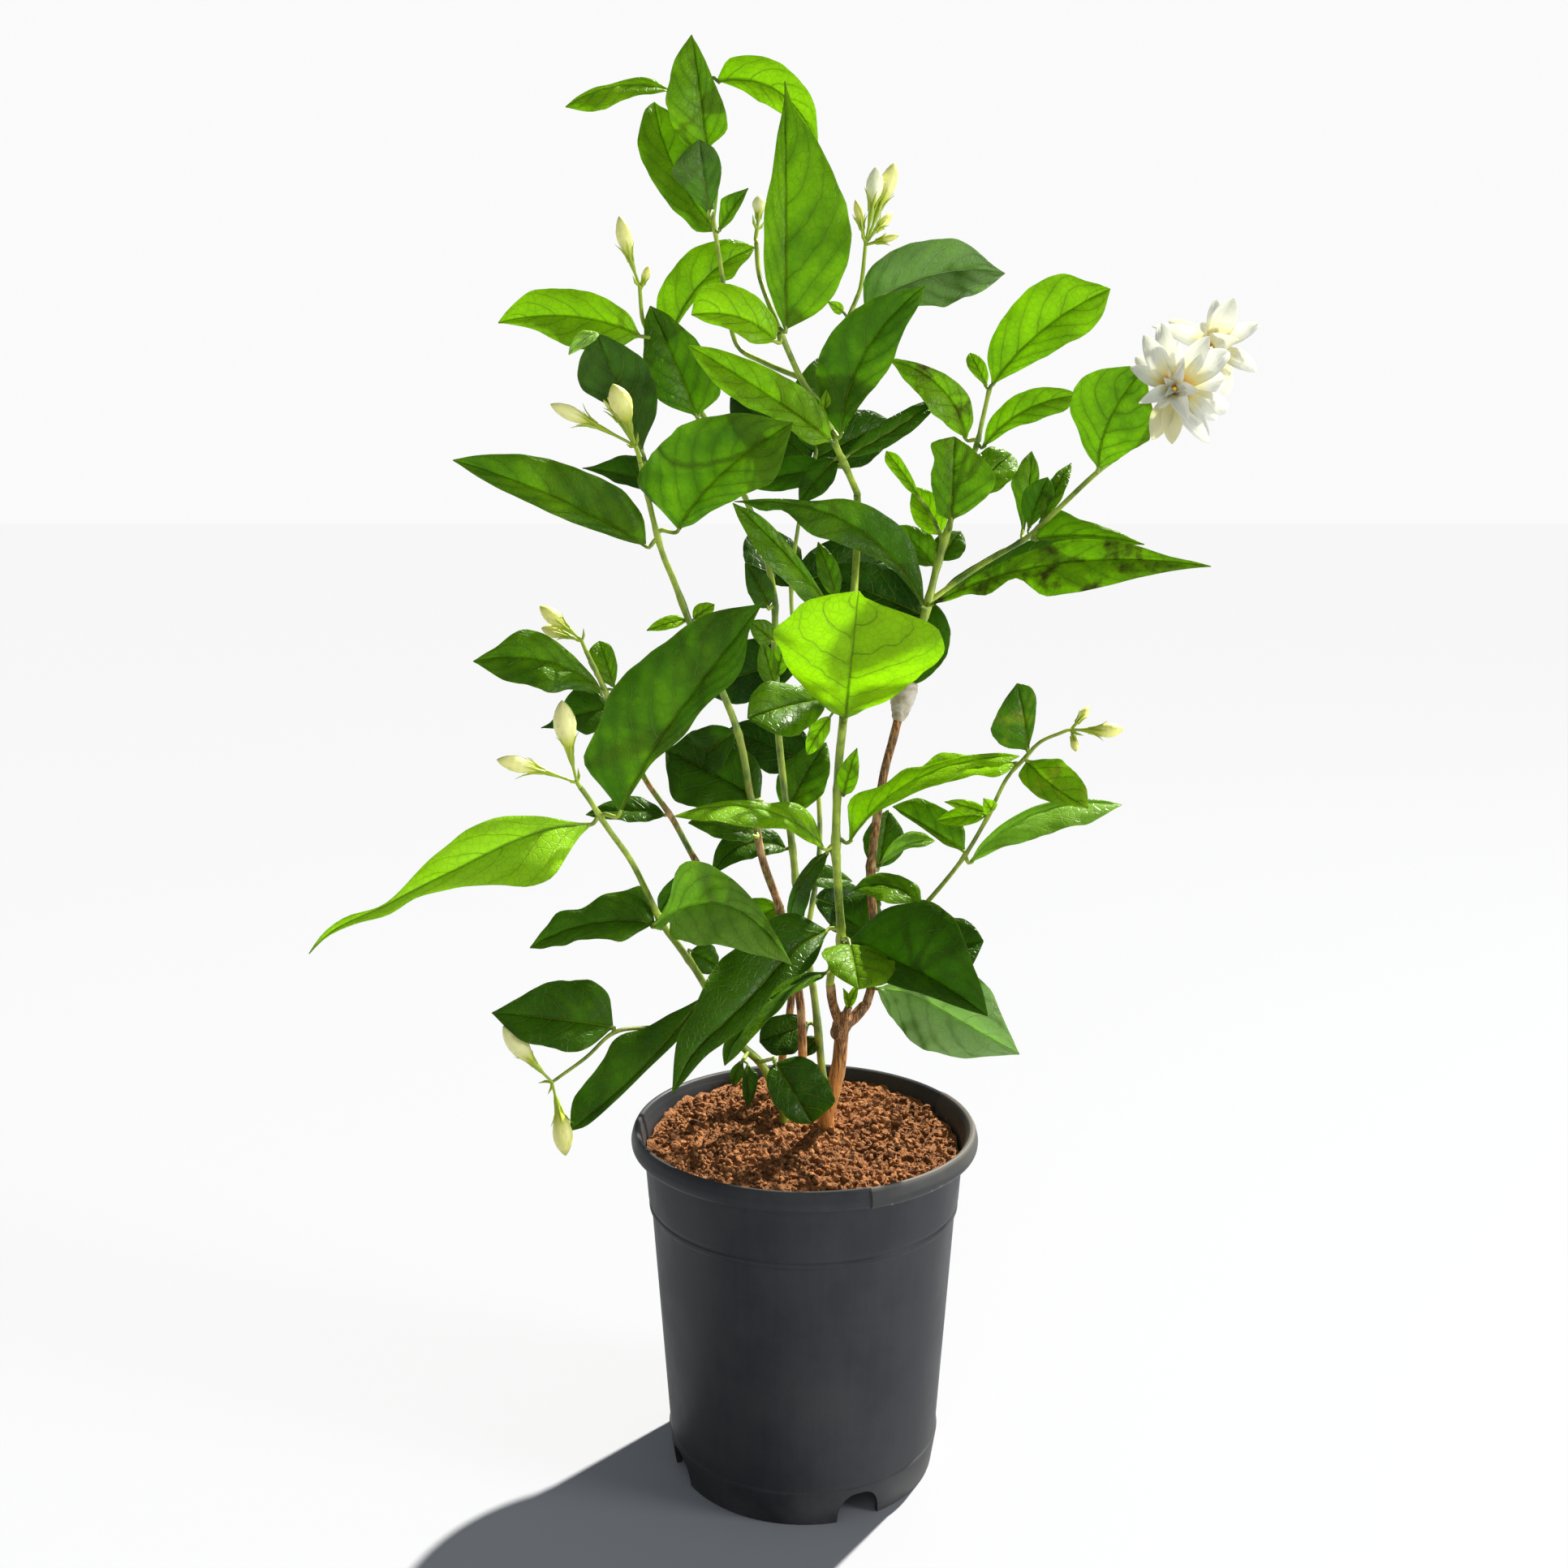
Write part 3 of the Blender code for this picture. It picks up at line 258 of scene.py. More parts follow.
joined = times(tree, joined, stretched(tree, height, 0.1540, 0.1548))
# Between the joins the lip is painted lighter: partly rubbed scuffs, partly painted sunlight on that side.
rubbed_and_lit = times(tree, joined, stretched(tree, cloud, 0.38, 0.62, 0.25, 0.85))
skin = blended(tree, rubbed_and_lit, skin, LIP_WORN_AND_LIT)
# A painted highlight along the top edge of that part of the lip, in the dust colour.
painted_top_highlight = times(tree, joined, stretched(tree, height, 0.1622, 0.1636, 0.0, 0.55))
skin = blended(tree, painted_top_highlight, skin, DUST_AND_HIGHLIGHT)
fleck = clouds(tree, place, 340.0, 2.0)
low_on_lip = stretched(tree, height, 0.1572, 0.1556)
flecks = times(tree, stretched(tree, fleck, 0.60, 0.68), low_on_lip)
skin = blended(tree, times(tree, flecks, joined), skin, DUST_AND_HIGHLIGHT)
tree.links.new(skin, shader.inputs["Base Color"])
tree.links.new(stretched(tree, worn, 0.0, 1.0, 0.40, 0.60), shader.inputs["Roughness"])
shader.inputs["Specular IOR Level"].default_value = 0.13
relief = plus(tree, times(tree, grain, 0.25), times(tree, streak, 0.25))
roughened(tree, shader, relief, 0.22, 0.0006)

inner_seam = SEAM_R - WALL - 0.6
lip_foot = POT_HEIGHT - LIP_TALL
underside = [(0, 0), (CENTRE_FOOT_R, 0), (CENTRE_FOOT_R + 1.5, FLOOR_UNDER_Z),
             (SEAM_R - SKIRT_WALL - 0.6, FLOOR_UNDER_Z), (FOOT_R - SKIRT_WALL, 0), (FOOT_R, 0)]
outer_wall = [(SEAM_R, SEAM_Z), (SEAM_R - 0.7, SEAM_Z + 0.8), (RING_R - 1.7, RING_Z - 5.4),
              (RING_R - 0.5, RING_Z - 4.4), (RING_R - 0.5, RING_Z - 2.6), (RING_R - 0.9, RING_Z - 2.0),
              (RING_R - 0.2, RING_Z), (NECK_R - 0.2, lip_foot - 1.6), (NECK_R, lip_foot)]
lip = [(LIP_R - 1.6, lip_foot), (LIP_R - 0.2, POT_HEIGHT - 7.8), (LIP_R, POT_HEIGHT - 5.4),
       (LIP_R - 0.9, POT_HEIGHT - 2.0), (CROWN_R, POT_HEIGHT), (CROWN_R - 1.7, POT_HEIGHT - 0.5)]
inner_wall = [(NECK_R - WALL + 2.6, POT_HEIGHT - 3.6), (NECK_R - WALL + 1.2, lip_foot + 1.0),
              (RING_R - WALL, RING_Z - 1.0), (inner_seam, FLOOR_TOP_Z), (0, FLOOR_TOP_Z)]
outline = rounded(underside + outer_wall + lip + inner_wall)
pot = new_piece("nursery_pot", *turned(outline, POT_SIDES), [charcoal])


def prism(name, corners):
    """A straight body between two equal outlines, the first half of the corners and the second."""
    size = len(corners) // 2
    sides = [tuple(reversed(range(size))), tuple(range(size, 2 * size))]
    sides += [(i, (i + 1) % size, (i + 1) % size + size, i + size) for i in range(size)]
    return new_piece(name, corners, sides, [])


arch = [(-NOTCH_WIDE / 2, NOTCH_CUT_FROM_Z), (NOTCH_WIDE / 2, NOTCH_CUT_FROM_Z)]
for k in range(1, ARCH_STEPS):
    a = math.pi / 2 * k / ARCH_STEPS
    arch.append((NOTCH_WIDE / 2 * math.cos(a) ** ARCH_ROUND, NOTCH_TALL * math.sin(a) ** ARCH_ROUND))
arch += [(-x, z) for x, z in reversed(arch[2:])]
turns = [2 * math.pi * k / DRAIN_SIDES for k in range(DRAIN_SIDES)]
ring = [(math.cos(turn) * DRAIN_R, math.sin(turn) * DRAIN_R) for turn in turns]
cutters = []
for n in range(NOTCHES):
    around = math.radians(-90 + NOTCH_AZIMUTH + 360 / NOTCHES * n)
    out = Vector((math.cos(around), math.sin(around), 0))
    beside = Vector((-out.y, out.x, 0))
    corners = [out * (r * MM) + beside * (x * MM) + Vector((0, 0, z * MM))
               for r in NOTCH_CUT_R for x, z in arch]
    cutters.append(prism("notch_%d" % n, corners))
    centre = out * (DRAIN_RING_R * MM)
    corners = [centre + Vector((x, y, z)) * MM for z in DRAIN_CUT_Z for x, y in ring]
    cutters.append(prism("drain_%d" % n, corners))


def apply_modifiers(piece):
    """Puts the mesh that the piece's modifiers make in the place of its own."""
    seen = bpy.context.evaluated_depsgraph_get()
    seen.update()
    mesh = bpy.data.meshes.new_from_object(piece.evaluated_get(seen))
    piece.modifiers.clear()
    piece.data = mesh


def face_outward(piece):
    """Turns the faces of a closed piece to the outside."""
    made = bmesh.new()
    made.from_mesh(piece.data)
    if made.calc_volume(signed=True) < 0:
        bmesh.ops.reverse_faces(made, faces=made.faces)
    made.to_mesh(piece.data)
    made.free()


face_outward(pot)
for cutter in cutters:
    face_outward(cutter)
    bite = pot.modifiers.new("Bite", "BOOLEAN")
    bite.operation = "DIFFERENCE"
    bite.object = cutter
    bite.solver = "EXACT"
apply_modifiers(pot)
for cutter in cutters:
    bpy.data.objects.remove(cutter, do_unlink=True)
# The lip is thicker between its two joins. Points just past the first join move up to it, for a steep step.
for vertex in pot.data.vertices:
    x, y, z = vertex.co / MM
    degrees = math.degrees(math.atan2(y, x))
    if z > lip_foot - 0.5 and math.hypot(x, y) > CROWN_R - 2.0:
        swell = 1.0 if LIP_JOIN[0] < degrees - 0.1 and degrees < LIP_JOIN[1] else 0.0
        if swell and degrees - LIP_JOIN[0] < JOIN_STEP_WIDE:
            degrees = LIP_JOIN[0] + JOIN_STEP_AT
        wave = LIP_WAVE * noise.noise(Vector((x, y, z)) * 0.05)
        grown = math.hypot(x, y) + JOIN_SWELL * swell + wave - LIP_TRIM
        around = math.radians(degrees)
        vertex.co = Vector((grown * math.cos(around), grown * math.sin(around), z)) * MM
soften_shading(pot, 32.0)
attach(pot, "root")
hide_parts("pot")

# The potting soil: a reddish-brown peat and bark mix, watered so often that it has sunk a finger's breadth
# below the crown in front and lies higher at the back. Loose crumbs of 1 to 4 mm lie on top of it.
SOIL_TOP_Z = 153.0
SOIL_BANK = 5.5
SIDE_Z = SOIL_TOP_Z - 4.0
SIDE_R = RING_R - WALL + 0.75
SIDE_SLOPE = 0.26
SOIL_TOP_R = 71.3
SOIL_ROUGH = ((1.7, 3.0, 0.06), (2.0, 9.0, 0.17), (1.5, 5.0, 0.42), (0.9, 7.0, 1.1))
SPOKES = 190
RINGS = 76
CRUMBS = 6400
CRUMBS_R = 70.0
CRUMB_SMALLEST = 0.34
CRUMB_RANGE = 1.75
SOIL_DARK_AND_SHADE = (0.026, 0.010, 0.004, 1.0)
SOIL_RED = (0.330, 0.136, 0.048, 1.0)
SOIL_PALE = (0.52, 0.27, 0.115, 1.0)


def soil_height(x, y):
    """Height of the soil's top at a place in mm."""
    back = max(0.0, min(1.0, (y + 8.0) / 78.0))
    rise = SOIL_BANK * back * back * (3 - 2 * back) - 1.4 * max(0.0, x / 72.0)
    for tall, layer, fine in SOIL_ROUGH:
        rise += tall * noise.noise(Vector((x, y, layer)) * fine)
    return SOIL_TOP_Z + rise


soil_mix, tree, shader = finish_named("potting_soil")
place = place_of(tree)
lump = clouds(tree, place, 210.0, 6.0, 0.7)
speck = wired(tree, "TexVoronoi", {"Vector": place, "Scale": 700.0}).outputs["Distance"]
patch = clouds(tree, place, 22.0, 3.0)
crumb_draw = wired(tree, "Attribute", {}, attribute_name="crumb").outputs["Fac"]
# The soil is darker where the lump noise is low, which is where its bump relief sinks: partly its own darker
# crumbs, partly painted shade in the hollows.
soil_tone_and_shade = plus(tree, times(tree, lump, 1.1), times(tree, crumb_draw, 0.30))
soil_tone_and_shade = plus(tree, soil_tone_and_shade, times(tree, patch, 0.25))
skin = blended(tree, stretched(tree, soil_tone_and_shade, 0.54, 0.94), SOIL_DARK_AND_SHADE, SOIL_RED)
dried = plus(tree, crumb_draw, times(tree, patch, 0.3))
skin = blended(tree, stretched(tree, dried, 1.0, 1.2, 0.0, 0.6), skin, SOIL_PALE)
tree.links.new(skin, shader.inputs["Base Color"])
shader.inputs["Roughness"].default_value = 0.95
shader.inputs["Specular IOR Level"].default_value = 0.25
relief = plus(tree, lump, times(tree, speck, 0.5))
roughened(tree, shader, relief, 1.0, 0.0016)

points, faces = [Vector((0, 0, soil_height(0, 0))) * MM], []
for ring in range(1, RINGS + 1):
    for k in range(SPOKES):
        around = 2 * math.pi * k / SPOKES
        r = SOIL_TOP_R * ring / RINGS
        x, y = r * math.cos(around), r * math.sin(around)
        z = soil_height(x, y)
        if ring == RINGS:
            r = SIDE_R + SIDE_SLOPE * (z - SIDE_Z)
            x, y = r * math.cos(around), r * math.sin(around)
        points.append(Vector((x, y, z)) * MM)
for r, z in ((SIDE_R, SIDE_Z), (RING_R - WALL - 0.5, RING_Z - 1.0), (inner_seam - 0.35, FLOOR_TOP_Z + 0.3)):
    for k in range(SPOKES):
        around = 2 * math.pi * k / SPOKES
        points.append(Vector((r * math.cos(around), r * math.sin(around), z)) * MM)
points.append(Vector((0, 0, FLOOR_TOP_Z + 0.3)) * MM)
for k in range(SPOKES):
    faces.append((0, 1 + k, 1 + (k + 1) % SPOKES))
for ring in range(RINGS + 2):
    for k in range(SPOKES):
        a, b = 1 + ring * SPOKES + k, 1 + ring * SPOKES + (k + 1) % SPOKES
        faces.append((a, a + SPOKES, b + SPOKES, b))
last = 1 + (RINGS + 2) * SPOKES
for k in range(SPOKES):
    faces.append((last + k, len(points) - 1, last + (k + 1) % SPOKES))
crumb_of = [0.5] * len(points)
random.seed(11)
ball = bmesh.new()
bmesh.ops.create_icosphere(ball, subdivisions=1, radius=1.0)
ball_points = [v.co.copy() for v in ball.verts]
ball_faces = [tuple(v.index for v in f.verts) for f in ball.faces]
ball.free()
for n in range(CRUMBS):
    around = random.uniform(0, 2 * math.pi)
    r = CRUMBS_R * math.sqrt(random.random())
    x, y = r * math.cos(around), r * math.sin(around)
    size = CRUMB_SMALLEST + CRUMB_RANGE * random.random() ** 3.4
    middle = Vector((x, y, soil_height(x, y) + 0.30 * size))
    stretch = Vector((random.uniform(0.7, 1.4), random.uniform(0.7, 1.4), random.uniform(0.55, 1.0))) * size
    twist = Vector((random.random() - 0.5, random.random() - 0.5, random.random() - 0.5)).normalized()
    spin = random.uniform(0, 2 * math.pi)
    draw = random.random()
    base = len(points)
    for p in ball_points:
        rough = p * random.uniform(0.78, 1.18)
        lumpy = Vector((rough.x * stretch.x, rough.y * stretch.y, rough.z * stretch.z))
        axis_part = twist * lumpy.dot(twist)
        turned_part = (lumpy - axis_part) * math.cos(spin) + twist.cross(lumpy) * math.sin(spin)
        points.append((middle + axis_part + turned_part) * MM)
        crumb_of.append(draw)
    faces += [tuple(base + i for i in face) for face in ball_faces]
soil = new_piece("potting_soil", points, faces, [soil_mix], 50.0)
soil.data.attributes.new("crumb", "FLOAT", "POINT").data.foreach_set("value", crumb_of)
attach(soil, "root")
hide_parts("soil")

# The trunk: one old stem, grey and orange-brown, that forks at a knobbly joint. Between the two branches
# stands the cut-back stub of a third. Its bark is finely cracked along its length.
ROOT_DEEP = 18.0
ROOT_UPRIGHT = 7.0
TRUNK_SIDES = 20
KNOBS = (((0, 0, 0), 4.5), ((-1.2, -1.6, -2.6), 4.3), ((1.8, -0.8, 2.0), 3.2))
REMESH_STEP = 0.00055
FISSURE = 0.22
ROOTS = {
    "trunk": (11.0, 18.0),
    "left_cane": (0.0, 36.0),
    "low_cane": (-9.0, 20.0),
    "back_cane": (12.0, 44.0),
    "rear_cane": (-12.0, 54.0),
}
AXES = {}
BARK_GREY = (0.085, 0.052, 0.028, 1.0)
BARK_ORANGE = (0.72, 0.310, 0.075, 1.0)
BARK_BEIGE = (0.60, 0.38, 0.17, 1.0)
CANE_GREEN = (0.055, 0.125, 0.004, 1.0)
CANE_YELLOW = (0.44, 0.56, 0.050, 1.0)


def spot(px, py, back):
    """The point seen at pixel (px, py) of the view that lies `back` mm behind the pot's axis."""
    a = (px - VIEW_PX / 2) / VIEW_FOCAL_PX
    b = -(py - VIEW_PX / 2) / VIEW_FOCAL_PX
    cos, sin = math.cos(VIEW_PITCH), math.sin(VIEW_PITCH)
    depth = (back * MM - VIEW_AT.y) / (cos + b * sin)
    return Vector((VIEW_AT.x + depth * a, back * MM, VIEW_AT.z + depth * (b * cos - sin)))


def smooth_path(points, step=0.003):
    """A smooth curve through the points, as points about `step` metres apart."""
    ends = [points[0] * 2 - points[1]] + list(points) + [points[-1] * 2 - points[-2]]
    made = [points[0].copy()]
    for i in range(1, len(ends) - 2):
        p0, p1, p2, p3 = ends[i - 1:i + 3]
        count = max(2, round((p2 - p1).length / step))
        for k in range(1, count + 1):
            t = k / count
            made.append(0.5 * ((2 * p1) + (p2 - p0) * t + (2 * p0 - 5 * p1 + 4 * p2 - p3) * t * t
                               + (3 * p1 - p0 - 3 * p2 + p3) * t ** 3))
    return made


def nearest(path, p):
    """The point of the path that is nearest to p, and the way the path runs there."""
    best = None
    for i in range(len(path) - 1):
        a, b = path[i], path[i + 1]
        t = max(0.0, min(1.0, (p - a).dot(b - a) / (b - a).length_squared))
        q = a.lerp(b, t)
        if best is None or (p - q).length < best[0]:
            best = ((p - q).length, q, (b - a).normalized())
    return best[1:]


def ring_faces(rings, sides):
    """The faces round `rings` rings of `sides` points each, with a cap on both ends."""
    faces = []
    for i in range(rings - 1):
        for k in range(sides):
            a, b = i * sides + k, i * sides + (k + 1) % sides
            faces.append((a, b, b + sides, a + sides))
    last = (rings - 1) * sides
    return faces + [tuple(reversed(range(sides))), tuple(range(last, last + sides))]


def tube(path, radii, sides):
    """Points and faces of a round tube along the path."""
    points = []
    across = (path[1] - path[0]).normalized().orthogonal().normalized()
    for i, p in enumerate(path):
        tangent = (path[min(i + 1, len(path) - 1)] - path[max(i - 1, 0)]).normalized()
        across = (across - tangent * across.dot(tangent)).normalized()
        beside = tangent.cross(across)
        for k in range(sides):
            around = 2 * math.pi * k / sides
            points.append(p + (across * math.cos(around) + beside * math.sin(around)) * radii[i])
    return points, ring_faces(len(path), sides)


stem_skin, tree, shader = finish_named("stem_skin")
place = place_of(tree)
long_way = wired(tree, "Mapping", {"Vector": place, "Scale": (1500.0, 1500.0, 170.0)}).outputs["Vector"]
crack = clouds(tree, long_way, 1.0, 5.0, 0.7)
cloud = clouds(tree, place, 95.0, 3.0)
flake_feeds = {"Vector": long_way, "Scale": 0.35}
flake = wired(tree, "TexVoronoi", flake_feeds, feature="DISTANCE_TO_EDGE").outputs["Distance"]
woody = wired(tree, "Attribute", {}, attribute_name="woody").outputs["Fac"]
up = wired(tree, "SeparateXYZ", {"Vector": place}).outputs["Z"]
warm = plus(tree, crack, stretched(tree, up, 0.172, 0.200, 0.13, -0.06))
bark = blended(tree, stretched(tree, warm, 0.40, 0.62), BARK_GREY, BARK_ORANGE)
bark = blended(tree, stretched(tree, cloud, 0.56, 0.72), bark, BARK_BEIGE)
striped = plus(tree, times(tree, crack, 0.5), cloud)
green = blended(tree, stretched(tree, striped, 0.52, 1.0), CANE_GREEN, CANE_YELLOW)
ragged = plus(tree, woody, times(tree, result_of(tree, "SUBTRACT", cloud, 0.5), 0.9))
barky = stretched(tree, ragged, 0.42, 0.62)
tree.links.new(blended(tree, barky, green, bark), shader.inputs["Base Color"])
tree.links.new(stretched(tree, barky, 0.0, 1.0, 0.42, 0.85), shader.inputs["Roughness"])
deep = stretched(tree, barky, 0.0, 1.0, 0.25, 1.0)
relief = times(tree, plus(tree, crack, flake), deep)
roughened(tree, shader, relief, 0.6, 0.0007)


def remember(piece, name, kind, values):
    """Keeps a value for every point of the piece, for its material to read."""
    field = "vector" if kind == "FLOAT_VECTOR" else "value"
    flat = np.asarray(values, dtype=np.float32).reshape(-1)
    piece.data.attributes.new(name, kind, "POINT").data.foreach_set(field, flat)


def root_line(name, path):
    """The middle line of a cane that stands in the soil and leaves it upright."""
    x, y = ROOTS[name]
    foot = Vector((x, y, SOIL_TOP_Z - ROOT_DEEP)) * MM
    free = foot + Vector((0, 0, (ROOT_DEEP + ROOT_UPRIGHT) * MM))
    return [foot] + smooth_path([free] + [spot(*p) for p in path])


trunk_line = root_line("trunk", [(1032, 1320, 17), (1036, 1286, 16), (1037, 1264, 15)])
left_fork = smooth_path([trunk_line[-1], spot(1027, 1240, 12), spot(1023, 1212, 8)])
right_fork = smooth_path([trunk_line[-1], spot(1052, 1254, 17), spot(1066, 1238, 20)])
stub = smooth_path([trunk_line[-1], spot(1041, 1252, 12), spot(1046, 1240, 10)])
AXES["left_fork"] = left_fork
AXES["right_fork"] = right_fork
limbs = []
drawn = ((trunk_line, 3.9, 3.2), (left_fork, 2.5, 2.15), (right_fork, 3.1, 2.6), (stub, 2.5, 1.7))
for n, (line, first, end) in enumerate(drawn):
    radii = [(first + (end - first) * i / (len(line) - 1)) * MM * (1 + 0.07 * noise.noise(p * 160.0))
             for i, p in enumerate(line)]
    limbs.append(new_piece("limb_%d" % n, *tube(line, radii, TRUNK_SIDES), []))
for offset, radius in KNOBS:
    ball = bmesh.new()
    bmesh.ops.create_icosphere(ball, subdivisions=3, radius=radius * MM)
    bmesh.ops.translate(ball, verts=ball.verts, vec=trunk_line[-1] + Vector(offset) * MM)
    knob_mesh = bpy.data.meshes.new("knob")
    ball.to_mesh(knob_mesh)
    ball.free()
    knob = bpy.data.objects.new("knob", knob_mesh)
    bpy.context.scene.collection.objects.link(knob)
    limbs.append(knob)
trunk = limbs[0]
for limb in limbs:
    face_outward(limb)
for limb in limbs[1:]:
    weld = trunk.modifiers.new("Weld", "BOOLEAN")
    weld.operation = "UNION"
    weld.object = limb
    weld.solver = "EXACT"
grown = trunk.modifiers.new("Grown", "REMESH")
grown.mode = "VOXEL"
grown.voxel_size = REMESH_STEP
settled = trunk.modifiers.new("Settled", "SMOOTH")
settled.iterations = 6
settled.factor = 0.5
apply_modifiers(trunk)
for limb in limbs[1:]:
    bpy.data.objects.remove(limb, do_unlink=True)
for vertex in trunk.data.vertices:
    p = vertex.co
    fissure = FISSURE * noise.noise(Vector((p.x * 900, p.y * 900, p.z * 120)))
    vertex.co = p + vertex.normal * (fissure * MM)
trunk.name = "trunk_bark"
trunk.data.materials.append(stem_skin)
soften_shading(trunk, 60.0)
remember(trunk, "woody", "FLOAT", [1.0] * len(trunk.data.vertices))
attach(trunk, "root")
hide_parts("trunk")

# A leaf: an oval blade with a sunken midrib and side veins that curve forward, blistered between them. It
# is glossy above, paler and dull beneath, thin enough for the sun to shine through, and grows from its stem
# on a short, curved stalk.
BLADE_THICK = 0.50
KEEL_TALL = 0.42
KEEL_WIDE = 0.55
GROOVE_DEEP = 0.12
GROOVE_WIDE = 0.45
VEIN_PAIR_EVERY = 29.0
VEIN_REACH = 1.08
BLISTER = 0.062
KNOT_SWELL = 0.20
KNOT_LONG = 2.4
STALK_R = 0.85
STALK_SIDES = 9
HALF_COLUMNS = (0.035, 0.1, 0.24, 0.42, 0.62, 0.8, 0.93, 1.0)
COLUMNS = [-u for u in reversed(HALF_COLUMNS)] + [0.0] + list(HALF_COLUMNS)
# Leaf colours along the tone, from dark shade green to sunlit yellow-green. A leaf's tone is partly its own
# colour and partly painted shade or painted sun, set leaf by leaf.
TONE_AND_LIGHT_STEPS = (
    (0.0, (0.018, 0.075, 0.003, 1.0)),
    (0.35, (0.058, 0.165, 0.002, 1.0)),
    (0.70, (0.220, 0.430, 0.002, 1.0)),
    (1.0, (0.370, 0.700, 0.003, 1.0)),
)
# The colour of the light that shines through, along the same tone, so it carries the same painted shade or
# sun.
GLOW_AND_LIGHT_STEPS = (
    (0.0, (0.045, 0.140, 0.001, 1.0)),
    (0.35, (0.190, 0.400, 0.001, 1.0)),
    (0.70, (0.520, 0.860, 0.001, 1.0)),
    (1.0, (0.660, 1.000, 0.002, 1.0)),
)
# The pale of the veins; it also paints a highlight along each leaf's margin.
PALE_VEIN_AND_RIM_HIGHLIGHT = (0.26, 0.36, 0.035, 1.0)
UNDER_GREY = (0.15, 0.28, 0.030, 1.0)
# The pale grey-green of a painted sheen, which stands in for bright sky mirrored on a leaf, and its paler
# veins.
PAINTED_SHEEN_GREY = (0.58, 0.82, 0.36, 1.0)
PAINTED_SHEEN_VEIN = (0.80, 0.92, 0.50, 1.0)
LEAF_YELLOW = (0.42, 0.46, 0.02, 1.0)
LEAF_BURNT = (0.060, 0.040, 0.012, 1.0)


def ramp_of(tree, value, steps):
    """The colour that a ramp of (place, colour) steps gives for a value."""
    made = wired(tree, "ValToRGB", {"Fac": value})
    ramp = made.color_ramp
    while len(ramp.elements) < len(steps):
        ramp.elements.new(0.5)
    for element, (at, colour) in zip(ramp.elements, steps):
        element.position = at
        element.color = colour
    return made.outputs["Color"]


def remembered(tree, name):
    """The three values that the piece keeps under this name at every point."""
    kept = wired(tree, "Attribute", {}, attribute_name=name).outputs["Vector"]
    return wired(tree, "SeparateXYZ", {"Vector": kept}).outputs


def lit_through(tree, shader, colour, share, face=None):
    """Mixes the shader by `share` with one that lets light of this colour shine through its face."""
    feeds = {"Color": colour, "Normal": face} if face else {"Color": colour}
    through = wired(tree, "BsdfTranslucent", feeds)
    both = wired(tree, "MixShader", {0: share, 1: shader.outputs["BSDF"], 2: through.outputs["BSDF"]})
    tree.links.new(both.outputs["Shader"], tree.nodes["Material Output"].inputs["Surface"])


leaf_skin, tree, shader = finish_named("leaf_skin")
across, along, upper = remembered(tree, "blade")
vein_turn, rib_gap, vein_space = remembered(tree, "veins")
tone_and_light, mottle, burn = remembered(tree, "leaf_look")
place = place_of(tree)
stray = clouds(tree, place, 110.0, 2.0)
phase = result_of(tree, "FRACT", plus(tree, vein_turn, times(tree, stray, 0.42)))
back_phase = result_of(tree, "SUBTRACT", 1.0, phase)
vein_gap = times(tree, result_of(tree, "MINIMUM", phase, back_phase), vein_space)
edge = result_of(tree, "ABSOLUTE", across)
fade = stretched(tree, edge, 0.55, 0.97, 1.0, 0.15)
side_vein = times(tree, stretched(tree, vein_gap, 0.12, 0.42, 1.0, 0.0), fade)
rib_wide = stretched(tree, along, 0.0, 1.0, 0.62, 0.20)
rib_share = result_of(tree, "DIVIDE", rib_gap, rib_wide)
rib = stretched(tree, rib_share, 0.7, 1.5, 1.0, 0.0)
net_feeds = {"Vector": place, "Scale": 330.0}
net = wired(tree, "TexVoronoi", net_feeds, feature="DISTANCE_TO_EDGE").outputs["Distance"]
fine_net = stretched(tree, net, 0.0, 0.10, 1.0, 0.0)
cloud = clouds(tree, place, 48.0, 4.0)
grain = clouds(tree, place, 900.0, 3.0)
swollen = times(tree, times(tree, phase, back_phase), 4.0)
drift = times(tree, result_of(tree, "SUBTRACT", cloud, 0.5), 0.44)
for wander, middle, share in ((stray, 0.5, 0.22), (swollen, 0.6, 0.06)):
    shift = times(tree, result_of(tree, "SUBTRACT", wander, middle), share)
    drift = plus(tree, drift, shift)
# Each leaf's colour from its tone, which paints shade or sun on it as well as its own green; the drift varies
# it at random.
own_tone_and_light = plus(tree, tone_and_light, drift)
skin = ramp_of(tree, own_tone_and_light, TONE_AND_LIGHT_STEPS)
for vein, share in ((fine_net, 0.13), (side_vein, 0.55), (rib, 0.70)):
    skin = blended(tree, times(tree, vein, share), skin, PALE_VEIN_AND_RIM_HIGHLIGHT)
# A painted highlight along the margin, in the pale vein colour.
skin = blended(tree, stretched(tree, edge, 0.955, 1.0, 0.0, 0.35), skin, PALE_VEIN_AND_RIM_HIGHLIGHT)
blotch = clouds(tree, place, 120.0, 2.0)
yellowed = times(tree, stretched(tree, blotch, 0.50, 0.66), mottle)
skin = blended(tree, yellowed, skin, LEAF_YELLOW)
scorch = clouds(tree, place, 75.0, 5.0, 0.7)
scorched = stretched(tree, plus(tree, scorch, times(tree, burn, 0.22)), 0.60, 0.76)
scorched = times(tree, scorched, stretched(tree, burn, 0.0, 0.2, 0.0, 0.85))
skin = blended(tree, scorched, skin, LEAF_BURNT)
under = blended(tree, 0.50, skin, UNDER_GREY)
skin = blended(tree, upper, under, skin)
